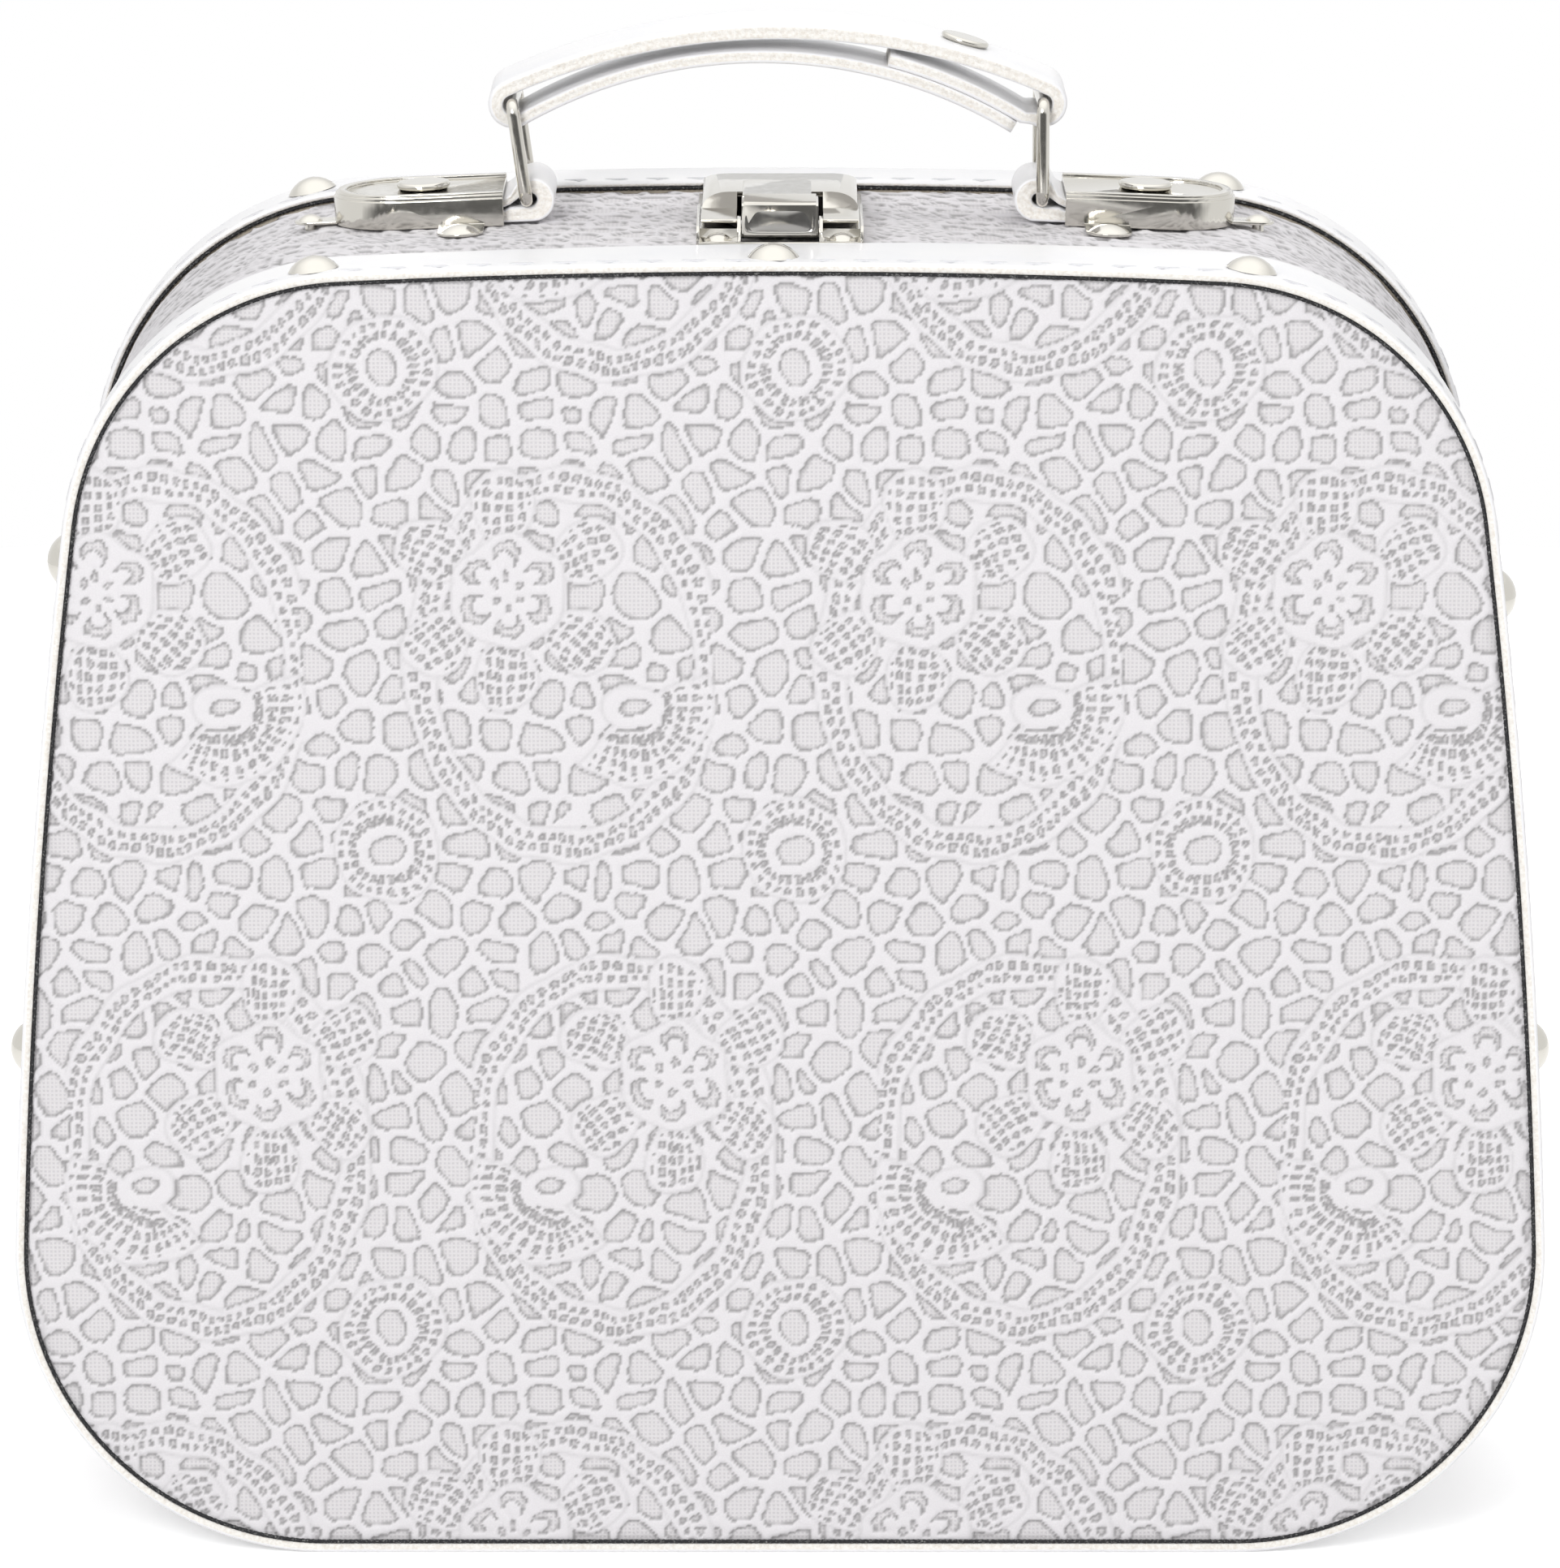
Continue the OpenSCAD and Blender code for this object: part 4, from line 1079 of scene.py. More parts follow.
@dataclass
class Lace:
    """The lace cloth on the front, round the body and on the lid.

    Attributes:
        shape: The case's outline.
        finishes: The finishes.
        origin: X and Z of a flower's middle on the front.
        thickness: Of a flat panel.
        border: How far the front's lace goes over the board's outline.
        lid_border: How far the lid's lace stays inside its binding.
        front_cell: Distance between the front's grid points.
        lid_cell: The same on the lid.
        strip_cell: The same on the strip.
        strip_face: The strip's face over the outline.
        strip_back: The strip's back over the outline.
        strip_start: From the front face to where the strip starts.
        strip_gap: From the strip's rear edge to the split.
        foot_room: The same at the foot, where the hinges are.
        foot_top: Height up to which the foot's gap goes.
    """

    shape: CaseShape
    finishes: Finishes
    origin: tuple[float, float] = (-53.5, 197.4)
    thickness: float = 0.7
    border: float = 0.62
    lid_border: float = 1.3
    front_cell: float = 0.5
    lid_cell: float = 0.85
    strip_cell: float = 0.95
    strip_face: float = 1.5
    strip_back: float = 0.8
    strip_start: float = 12.0
    strip_gap: float = 0.3
    foot_room: float = 4.7
    foot_top: float = 5.4

    def __post_init__(self) -> None:
        """Computes the pattern once."""
        self.pattern = LacePattern()

    def build(self) -> None:
        """Makes the lace pieces."""
        fine = LaceSheet(self.pattern, self.front_cell)
        coarse = LaceSheet(self.pattern, self.lid_cell)
        self.panel(fine, "front_lace", "case_body", self.shape.front_y, 1.0, 4)
        self.panel(coarse, "lid_lace", "case_lid", self.shape.back_y, -1.0, 2)
        self.strip(LaceSheet(self.pattern, self.strip_cell))

    @staticmethod
    def inside(x: np.ndarray, z: np.ndarray, ring: np.ndarray) -> np.ndarray:
        """Whether places lie inside the outline."""
        right = ring[:len(ring) // 2 + 1]
        return np.abs(x) < np.interp(z, right[:, 1], right[:, 0], left=-1.0, right=-1.0)

    def panel(self, sheet: LaceSheet, node: str, body: str, y: float, facing: float, tiles: int) -> None:
        """Makes a flat panel as upright tiles, closed at the back.

        Args:
            sheet: The lace surface to use.
            node: The part that the panel stands for.
            body: The body it rides on.
            y: Where the raised face lies.
            facing: 1 where the lace faces the front, -1 where it faces the back.
            tiles: Number of tiles side by side.
        """
        lid = facing < 0
        rail = self.shape.rail(0.5, lid)
        ring = rail.ring(self.shape.lid_proud - self.lid_border if lid else self.border)
        low, high = ring.min(axis=0), ring.max(axis=0)
        count_x, count_z = ((high - low) / sheet.cell).astype(int)
        xs = np.linspace(low[0], high[0], count_x + 1)
        zs = np.linspace(low[1], high[1], count_z + 1)
        x, z = np.meshgrid(xs, zs)
        keep = self.inside(x, z, ring)
        along, up = (x - self.origin[0]) * facing, z - self.origin[1]
        along, up, height, raised, rim = sheet.settle_points(along, up)
        new_x, new_z = along * facing + self.origin[0], up + self.origin[1]
        ground = y + facing * sheet.relief
        points = np.stack([new_x, ground - facing * height, new_z], axis=-1)
        # These normals point to the front (-Y) on both panels, so on the lid into the case.
        normals = np.cross(np.gradient(points, axis=1), np.gradient(points, axis=0))
        normals /= np.linalg.norm(normals, axis=-1, keepdims=True)
        pieces = []
        for tile in range(tiles):
            first, last = count_x * tile // tiles, count_x * (tile + 1) // tiles
            block = np.s_[:, first:last + 1]
            thing = self.tile(f"{node}_{tile + 1}", points[block], normals[block], keep[block], raised[block],
                              rim[block], y + facing * self.thickness)
            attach(thing, body)
            pieces.append(thing)
        for thing in pieces:
            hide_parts(node)

    def tile(self, name: str, points: np.ndarray, normals: np.ndarray, keep: np.ndarray, raised: np.ndarray,
             rim: np.ndarray, back_y: float) -> bpy.types.Object:
        """Makes one closed tile, whose shading runs on into the next one.

        Args:
            name: The tile's name.
            points: Its grid of points.
            normals: The shading's direction at each point.
            keep: Whether a point lies inside the panel.
            raised: Whether a point is on the raised work.
            rim: How much painted shade the edge or outline gets there.
            back_y: Where the tile's back lies.

        Returns:
            The tile.
        """
        rows, columns = keep.shape
        quads = grid_faces(rows, columns, False, False)
        whole = keep.reshape(-1)[quads].all(axis=1)
        quads = quads[whole]
        edges = np.concatenate([quads[:, [k, (k + 1) % 4]] for k in range(4)])
        code = edges[:, 0].astype(np.int64) * rows * columns + edges[:, 1]
        back_code = edges[:, 1].astype(np.int64) * rows * columns + edges[:, 0]
        border = edges[~np.isin(code, back_code)]
        follow = dict(zip(border[:, 0].tolist(), border[:, 1].tolist()))
        start = int(border[0, 0])
        loop = [start]
        while follow[loop[-1]] != start:
            loop.append(follow[loop[-1]])
        used = np.unique(quads)
        number = np.full(rows * columns, -1)
        number[used] = np.arange(len(used))
        front = points.reshape(-1, 3)[used]
        behind = points.reshape(-1, 3)[loop].copy()
        behind[:, 1] = back_y
        faces = number[quads].tolist()
        base = len(used)
        count = len(loop)
        ring = number[np.array(loop)]
        for k in range(count):
            after = (k + 1) % count
            faces.append([int(ring[after]), int(ring[k]), base + k, base + after])
        faces.append([base + k for k in range(count)])
        thing = mesh_object(name, np.concatenate([front, behind]), faces, [self.finishes.lace])
        flat = np.arange(len(faces)) < len(faces) - count - 1
        thing.data.polygons.foreach_set("use_smooth", flat)
        self.shades(thing, np.concatenate([raised.reshape(-1)[used], np.zeros(count)]),
                    np.concatenate([rim.reshape(-1)[used], np.zeros(count)]))
        outward(thing)
        shaded = np.zeros((base + count, 3))
        shaded[:base] = normals.reshape(-1, 3)[used]
        shaded[base:, 1] = -np.sign(shaded[:base, 1].mean())
        thing.data.normals_split_custom_set_from_vertices(shaded.tolist())
        return thing

    def shades(self, thing: bpy.types.Object, raised: np.ndarray, rim: np.ndarray) -> None:
        """Stores whether each corner is raised, and its painted shade, as attributes.

        Args:
            thing: The lace piece.
            raised: Whether each corner is on the raised work.
            rim: How much painted shade the edge or outline gets there.
        """
        for label, values in (("lace_rise", raised), ("lace_painted_shade", rim)):
            store = thing.data.attributes.new(label, "FLOAT", "POINT")
            store.data.foreach_set("value", values.astype(np.float32))

    def strip(self, sheet: LaceSheet) -> None:
        """Makes the lace round the body's sides as one closed band.

        Args:
            sheet: The lace surface to use.
        """
        rail = self.shape.rail(sheet.cell)
        first_y, last_y = self.shape.front_y + self.strip_start, self.shape.split_y - self.strip_gap
        columns = round((last_y - first_y) / sheet.cell)
        ys = np.linspace(first_y, last_y, columns + 1)
        s, y = np.meshgrid(rail.length, ys, indexing="ij")
        new_s, new_y, height, raised, rim = sheet.settle_points(s, y)
        new_y[:, 0], new_y[:, -1] = first_y, last_y
        shift = (new_s - s)[..., None]
        tangent = np.stack([-rail.normal[:, 1], rail.normal[:, 0]], axis=1)[:, None]
        low = rail.ring(self.strip_face)[:, 1] < self.foot_top
        squeeze = (self.shape.split_y - self.foot_room - first_y) / (last_y - first_y)
        new_y = np.where(low[:, None], first_y + (new_y - first_y) * squeeze, new_y)
        offset = (self.strip_face - sheet.relief + height)[..., None]
        flat = rail.base[:, None] + offset * rail.normal[:, None] + shift * tangent
        flat = self.shape.lift(flat)
        points = np.stack([flat[..., 0], new_y, flat[..., 1]], axis=-1)
        inner = rail.ring(self.strip_back)
        rear = np.stack([inner[:, 0], new_y[:, -1], inner[:, 1]], axis=1)[:, None]
        front = np.stack([inner[:, 0], new_y[:, 0], inner[:, 1]], axis=1)[:, None]
        points = np.concatenate([points, rear, front], axis=1)
        rows, width = points.shape[:2]
        quads = grid_faces(rows, width, True, True)
        blank = np.zeros((rows, 2))
        thing = mesh_object("side_lace_cloth", points.reshape(-1, 3), quads, [self.finishes.lace])
        self.shades(thing, np.concatenate([raised, blank], axis=1).reshape(-1),
                    np.concatenate([rim, blank], axis=1).reshape(-1))
        outward(thing)
        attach(thing, "case_body")
        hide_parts("side_lace")


# ---------------------------------------------------------------------------
# Bindings and cords
# ---------------------------------------------------------------------------
@dataclass
class Binding:
    """The leather bindings: a leg, a rounded bend, a puckered band and a cut edge.

    A section's points are (offset from the outline, Y).

    Attributes:
        shape: The case's outline.
        finishes: The finishes.
        pucker_pitch: Distance between two stitches.
        pucker_depth: How far a stitch pulls the leather in.
        leg: The binding's thickness over the front and the back.
        band: The front band's width.
        outer: The front band's face over the outline.
        under: Its underside.
        rim: Where the front leg's inner edge lies.
        seam: From the front to the faint seam in the band.
        widening: How much wider the band is at the top's middle; twice that at its right end.
        widen_over: The distance in X over which it widens.
        widen_from: The height above the foot from which it widens.
        widen_rise: The height over which it widens.
        catch_room: Half the width of the room over the catch's flange.
        catch_height: The room's height above the crown.
        hinge_x: Distance of the hinges from the middle.
        hinge_room: Half the width of the room at a hinge.
        hinge_top: The height up to which that room goes.
        hinge_depth: Its depth behind the split.
    """

    shape: CaseShape
    finishes: Finishes
    pucker_pitch: float = 8.3
    pucker_depth: float = 0.6
    leg: float = 1.0
    band: float = 20.5
    outer: float = 2.4
    under: float = 1.5
    rim: float = 0.6
    seam: float = 12.3
    widening: float = 3.5
    widen_over: float = 45.0
    widen_from: float = 215.0
    widen_rise: float = 25.0
    catch_room: float = 15.8
    catch_height: float = 2.72
    hinge_x: float = 66.0
    hinge_room: float = 15.6
    hinge_top: float = 6.0
    hinge_depth: float = 3.1

    def build(self) -> None:
        """Makes the front and lid bindings."""
        self.front()
        self.lid()

    def pucker(self, rail: Rail) -> np.ndarray:
        """The scallop along a binding, between 0 at a stitch and 1 between two."""
        pitch = rail.total / round(rail.total / self.pucker_pitch)
        return np.abs(np.sin(math.pi * rail.length / pitch)) ** 0.6

    def finish(self, name: str, node: str, body: str, points: np.ndarray, quads: np.ndarray,
               slots: np.ndarray) -> None:
        """Makes the object and lets it stand for its part.

        Args:
            name: The object's name.
            node: The part that it stands for.
            body: The body it rides on.
            points: Its corners.
            quads: Its faces.
            slots: 0 for a face of the leather's surface, 1 for one of its cut edge.
        """
        thing = mesh_object(name, points, quads, [self.finishes.leather, self.finishes.cut_edge], slots)
        outward(thing)
        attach(thing, body)
        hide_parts(node)

    def wrinkles(self, rail: Rail, seed: int) -> np.ndarray:
        """Slow waves along a band.

        Args:
            rail: The line that the band follows.
            seed: Seed of the waves' phases.

        Returns:
            A height in millimetres for each of the rail's points.
        """
        rng = np.random.default_rng(seed)
        total = np.zeros_like(rail.length)
        for waves in (9, 17, 31, 52):
            turns = waves * rail.length / rail.total + rng.random()
            total += np.sin(2 * math.pi * turns) / math.sqrt(waves)
        return total * 0.2

    def front(self) -> None:
        """Makes the front binding. Its band is wider towards the right end of the top."""
        rail = self.shape.rail(0.9)
        y = self.shape.front_y
        bend = [(1.7 + 0.7 * math.sin(a), y - self.leg + 0.7 - 0.7 * math.cos(a))
                for a in np.linspace(0.0, math.pi / 2, 7)]
        reach = (0.2, 0.7, 1.2, 1.8, 2.5, 3.4, 4.6, 6.5, 9.0, 12.0, 15.0, 17.5, 19.0, 19.9)
        band = [(self.outer, y + d) for d in reach]
        tail = [(2.3, y + self.band - 0.1), (2.05, y + self.band), (self.under, y + self.band)]
        inner = [(self.under, y + 12.0), (self.under, y), (self.rim, y)]
        face = [(self.rim, y - 0.55), (0.7, y - 0.75), (1.2, y - 0.93), (1.6, y - self.leg)]
        section = np.array(bend + band + tail + inner + face)
        shift = np.zeros((len(rail.base), len(section), 2))
        scallop, waves = self.pucker(rail), self.wrinkles(rail, 3)
        rightwards = self.widening * (1.0 + np.tanh(rail.base[:, 0] / self.widen_over))
        upwards = np.clip((rail.base[:, 1] - self.widen_from) / self.widen_rise, 0.0, 1.0)
        wide = rightwards * upwards - 1.0
        for j, (offset, place) in enumerate(section):
            depth = place - y
            if offset > 1.55 and depth < self.band - 0.4:
                pull = math.exp(-((depth - 2.6) / 1.5) ** 2)
                seam = math.exp(-((depth - self.seam) / 0.9) ** 2)
                shift[:, j, 0] = self.pucker_depth * (scallop - 0.8) * pull - 0.12 * seam * (1.2 - scallop)
                if depth > 0.5:
                    shift[:, j, 0] += waves * 0.35 * min(1.0, depth / 6.0)
                    shift[:, j, 1] = 0.5 * (scallop - 0.5) * math.exp(-((depth - 2.2) / 1.0) ** 2)
            if depth > 9.0:
                shift[:, j, 1] += (wide + waves) * (depth - 9.0) / (self.band - 9.0)
        points, quads = rail.sweep(section, shift)
        points[:, 2] = np.maximum(points[:, 2], 0.0)
        rows = len(section)
        column = np.tile(np.arange(rows), len(rail.base))
        slots = np.where(column >= rows - len(face), 1, 0)
        self.finish("front_binding", "front_trim", "case_body", points, quads, slots)

    def lid(self) -> None:
        """Makes the lid's binding, which goes round both of its edges."""
        rail = self.shape.rail(1.1, True)
        out = self.shape.lid_proud
        y0, y1 = self.shape.split_y, self.shape.back_y + self.leg
        bend = [(out - 0.8 + 0.8 * math.sin(a), y0 + 0.8 - 0.8 * math.cos(a))
                for a in np.linspace(0.15, math.pi / 2, 7)]
        band = [(out, y) for y in np.linspace(y0 + 1.2, y1 - 1.2, 14)]
        round_back = [(out - 0.8 + 0.8 * math.cos(a), y1 - 0.8 + 0.8 * math.sin(a))
                      for a in np.linspace(0.0, math.pi / 2, 7)]
        back_edge = [(out - 1.2, y1 - 0.2), (out - 1.2, y1 - self.leg)]
        inner = [(out - 0.9, y1 - self.leg), (out - 0.9, y0 + self.leg)]
        front_edge = [(out - 1.2, y0 + self.leg), (out - 1.2, y0 + 0.25)]
        section = np.array(bend + band + round_back + back_edge + inner + front_edge)
        shift = np.zeros((len(rail.base), len(section), 2))
        scallop, waves = self.pucker(rail), self.wrinkles(rail, 8)
        for j, (offset, place) in enumerate(section):
            if offset > out - 0.85:
                near = min(place - y0, y1 - place)
                pull = math.exp(-((near - 2.4) / 1.3) ** 2)
                shift[:, j, 0] = self.pucker_depth * 0.8 * (scallop - 0.8) * pull
                shift[:, j, 0] += waves * 0.3 * min(1.0, near / 5.0)
        points, quads = rail.sweep(section, shift)
        rows = len(section)
        column = np.tile(np.arange(rows), len(rail.base))
        back_cut = len(bend) + len(band) + len(round_back) - 1
        front_cut = rows - len(front_edge) - 1
        cut = (column >= front_cut) | (column == back_cut) | (column == back_cut + 1)
        slots = np.where(cut, 1, 0)
        points = self.make_room(points)
        points[:, 2] = np.maximum(points[:, 2], 0.0)
        self.finish("lid_binding", "lid_trim", "case_lid", points, quads, slots)

    def make_room(self, points: np.ndarray) -> np.ndarray:
        """Moves the binding's inner points clear of the catch's flange and the hinges.

        Args:
            points: The lid binding's points, which are changed.

        Returns:
            The same points.
        """
        crown, ceiling = self.shape.crown_z, self.shape.crown_z + self.catch_height
        over = (np.abs(points[:, 0]) < self.catch_room) & (points[:, 2] > crown) & (points[:, 2] < ceiling)
        points[over, 2] = ceiling
        low = points[:, 2] < self.hinge_top
        hinge = np.abs(np.abs(points[:, 0]) - self.hinge_x) < self.hinge_room
        clear_y = self.shape.split_y + self.hinge_depth
        points[low & hinge, 1] = np.maximum(points[low & hinge, 1], clear_y)
        return points


@dataclass
class Cord:
    """A twisted cord along the case's outline, made by a node group.

    The group takes the outline's line, gives it a three-strand section and
    turns that section along the way.

    Attributes:
        shape: The case's outline.
        finishes: The finishes.
        thickness: The cord's thickness.
        room: Thickness that the solid model's front cord has.
        twist_pitch: Length of one full turn of the strands.
        strands: Number of strands.
        lobe_points: Points of the section for each strand.
        lobe: How far a strand stands out, as a share of the radius.
        slack: Share of the full radius that the strands' mean line has.
        step: Distance between points along the cord.
    """

    shape: CaseShape
    finishes: Finishes
    thickness: float = 0.84
    room: float = 1.2
    twist_pitch: float = 3.2
    strands: int = 3
    lobe_points: int = 4
    lobe: float = 0.12
    slack: float = 0.96
    step: float = 0.45

    def group(self) -> bpy.types.NodeTree:
        """Makes the node group, with the cord's size and twist as inputs.

        Returns:
            The node group.
        """
        tree = bpy.data.node_groups.new("twisted_cord", "GeometryNodeTree")
        face = tree.interface
        face.new_socket("Geometry", in_out="INPUT", socket_type="NodeSocketGeometry")
        for label in ("Radius", "Strand Depth", "Turns"):
            face.new_socket(label, in_out="INPUT", socket_type="NodeSocketFloat")
        face.new_socket("Material", in_out="INPUT", socket_type="NodeSocketMaterial")
        face.new_socket("Geometry", in_out="OUTPUT", socket_type="NodeSocketGeometry")
        board = Board(tree)
        given = board.add("NodeGroupInput")
        line = board.add("GeometryNodeMeshToCurve", {0: given.outputs["Geometry"]})
        along = board.add("GeometryNodeSplineParameter")
        turn = board.math("MULTIPLY", along.outputs["Factor"], given.outputs["Turns"])
        tilt = board.math("MULTIPLY", turn, 2.0 * math.pi / self.strands)
        tilted = board.add("GeometryNodeSetCurveTilt", {"Curve": line.outputs[0], "Tilt": tilt})
        circle = {"Resolution": self.strands * self.lobe_points, "Radius": given.outputs["Radius"]}
        ring = board.add("GeometryNodeCurvePrimitiveCircle", circle)
        index = board.add("GeometryNodeInputIndex")
        lobe = board.math("COSINE", board.math("MULTIPLY", index.outputs[0], 2 * math.pi / self.lobe_points))
        depth = board.math("ADD", board.math("MULTIPLY", lobe, given.outputs["Strand Depth"]), 1.0)
        here = board.add("GeometryNodeInputPosition")
        grown = board.add("ShaderNodeVectorMath", {0: here.outputs[0], "Scale": depth}, operation="SCALE")
        section = board.add("GeometryNodeSetPosition", {
            "Geometry": ring.outputs[0], "Position": grown.outputs[0]})
        body = board.add("GeometryNodeCurveToMesh", {0: tilted.outputs[0], 1: section.outputs[0]})
        smooth = board.add("GeometryNodeSetShadeSmooth", {0: body.outputs[0]})
        painted = board.add("GeometryNodeSetMaterial", {
            "Geometry": smooth.outputs[0], "Material": given.outputs["Material"]})
        board.add("NodeGroupOutput", {0: painted.outputs[0]})
        return tree

    def build(self) -> None:
        """Makes the three cords."""
        tree = self.group()
        rest = (self.room - self.thickness) / 2
        self.lay(tree, "front_cord", "front_piping", "case_body", False, rest, self.shape.front_y - 0.4)
        out = self.shape.lid_proud - 1.25 - self.thickness / 2
        self.lay(tree, "lid_front_cord", "lid_piping", "case_lid", True, out, self.shape.split_y + 0.55)
        self.lay(tree, "lid_back_cord", "lid_piping", "case_lid", True, out, self.shape.back_y + 0.45)

    def lay(self, tree: bpy.types.NodeTree, name: str, node: str, body: str, lid: bool, offset: float,
            y: float) -> None:
        """Lays one cord along the outline.

        Args:
            tree: The cord's node group.
            name: The cord's name.
            node: The part that it stands for.
            body: The body it rides on.
            lid: Whether it follows the lid's outline.
            offset: How far out it lies.
            y: Where it lies along Y.
        """
        rail = self.shape.rail(self.step, lid)
        ring = rail.ring(offset)
        points = np.stack([ring[:, 0], np.full(len(ring), y), ring[:, 1]], axis=1)
        thing = closed_line(name, points)
        turns = round(rail.total / self.twist_pitch) * float(self.strands)
        use_group(thing, tree, {"Radius": self.thickness / 2 * MM * self.slack, "Strand Depth": self.lobe,
                                "Turns": turns, "Material": self.finishes.cord})
        settle(thing)
        outward(thing)
        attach(thing, body)
        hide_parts(node)


@dataclass
class Stitches:
    """Rows of long stitches, put along a line by a node group.

    Attributes:
        shape: The case's outline.
        finishes: The finishes.
        length: Length of a stitch.
        radius: Radius of its thread.
        pitch: Distance between two stitches.
        step: Distance between points of the line.
        rings: Rings of points along a stitch.
        around: Points in a ring.
    """

    shape: CaseShape
    finishes: Finishes
    length: float = 5.4
    radius: float = 0.28
    pitch: float = 8.3
    step: float = 1.0
    rings: int = 9
    around: int = 8

    def group(self) -> bpy.types.NodeTree:
        """Makes the node group that sets stitches along a line.

        Returns:
            The node group.
        """
        tree = bpy.data.node_groups.new("stitch_row", "GeometryNodeTree")
        face = tree.interface
        face.new_socket("Geometry", in_out="INPUT", socket_type="NodeSocketGeometry")
        face.new_socket("Stitch", in_out="INPUT", socket_type="NodeSocketObject")
        face.new_socket("Count", in_out="INPUT", socket_type="NodeSocketInt")
        face.new_socket("Material", in_out="INPUT", socket_type="NodeSocketMaterial")
        face.new_socket("Geometry", in_out="OUTPUT", socket_type="NodeSocketGeometry")
        board = Board(tree)
        given = board.add("NodeGroupInput")
        line = board.add("GeometryNodeMeshToCurve", {0: given.outputs["Geometry"]})
        spots = board.add("GeometryNodeCurveToPoints", {
            "Curve": line.outputs[0], "Count": given.outputs["Count"]})
        stitch = board.add("GeometryNodeObjectInfo", {"Object": given.outputs["Stitch"]})
        tangent = {"Vector": spots.outputs["Tangent"]}
        turned = board.add("FunctionNodeAlignRotationToVector", tangent, axis="X")
        copies = board.add("GeometryNodeInstanceOnPoints", {
            "Points": spots.outputs["Points"], "Instance": stitch.outputs["Geometry"],
            "Rotation": turned.outputs[0]})
        real = board.add("GeometryNodeRealizeInstances", {0: copies.outputs[0]})
        painted = board.add("GeometryNodeSetMaterial", {
            "Geometry": real.outputs[0], "Material": given.outputs["Material"]})
        board.add("NodeGroupOutput", {0: painted.outputs[0]})
        return tree

    def stitch(self) -> bpy.types.Object:
        """Makes the one stitch that is repeated.

        Returns:
            The stitch, which lies along X.
        """
        rings, around = self.rings, self.around
        t = np.linspace(-1.0, 1.0, rings)
        radius = self.radius * np.sqrt(np.clip(1.02 - t**8, 0.05, 1.0))
        angles = np.arange(around) * 2 * math.pi / around
        points = np.stack([
            np.repeat(t * self.length / 2, around),
            (radius[:, None] * np.cos(angles)).reshape(-1),
            (radius[:, None] * np.sin(angles)).reshape(-1)], axis=1)
        faces = grid_faces(rings, around, False, True).tolist()
        faces += [list(range(around)), list(range((rings - 1) * around, rings * around))]
        thing = mesh_object("one_stitch", points, faces, [self.finishes.thread])
        outward(thing)
        return thing

    def build(self) -> None:
        """Sets a row along each binding."""
        tree, stitch = self.group(), self.stitch()
        y = self.shape.front_y
        self.row(tree, stitch, "front_stitches", "case_body", False, 2.34, y + 2.4)
        out = self.shape.lid_proud - 0.08
        self.row(tree, stitch, "lid_stitches", "case_lid", True, out, self.shape.split_y + 2.6)
        bpy.data.objects.remove(stitch)

    def row(self, tree: bpy.types.NodeTree, stitch: bpy.types.Object, name: str, body: str, lid: bool,
            offset: float, y: float) -> None:
        """Sets one row of stitches, none of it below the floor.

        Args:
            tree: The row's node group.
            stitch: The stitch that is repeated.
            name: The row's name.
            body: The body it rides on.
            lid: Whether it follows the lid's outline.
            offset: How far out it lies.
            y: Where it lies along Y.
        """
        rail = self.shape.rail(self.step, lid)
        ring = rail.ring(offset)
        z = np.maximum(ring[:, 1], self.radius)
        thing = closed_line(name, np.stack([ring[:, 0], np.full(len(ring), y), z], axis=1))
        count = round(rail.total / self.pitch)
        use_group(thing, tree, {"Stitch": stitch, "Count": count, "Material": self.finishes.thread})
        settle(thing)
        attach(thing, body)


def closed_line(name: str, points: np.ndarray) -> bpy.types.Object:
    """Makes an object that is a closed line of edges.

    Args:
        name: The object's name.
        points: The line's points in millimetres.

    Returns:
        The linked object.
    """
    count = len(points)
    mesh = bpy.data.meshes.new(name)
    mesh.from_pydata((points * MM).tolist(), [(i, (i + 1) % count) for i in range(count)], [])
    thing = bpy.data.objects.new(name, mesh)
    bpy.context.scene.collection.objects.link(thing)
    return thing


def use_group(thing: bpy.types.Object, tree: bpy.types.NodeTree, values: dict) -> None:
    """Puts a node group on an object and sets the group's inputs by their names.

    Args:
        thing: The object.
        tree: The node group.
        values: Input name to value.
    """
    modifier = thing.modifiers.new(tree.name, "NODES")
    modifier.node_group = tree
    for item in modifier.node_group.interface.items_tree:
        if item.item_type == "SOCKET" and item.in_out == "INPUT" and item.name in values:
            modifier[item.identifier] = values[item.name]


# ---------------------------------------------------------------------------
# Leather strips: the strap and the tabs
# ---------------------------------------------------------------------------
EDGE_POINTS = 5  # of a strip's rounded outer edge


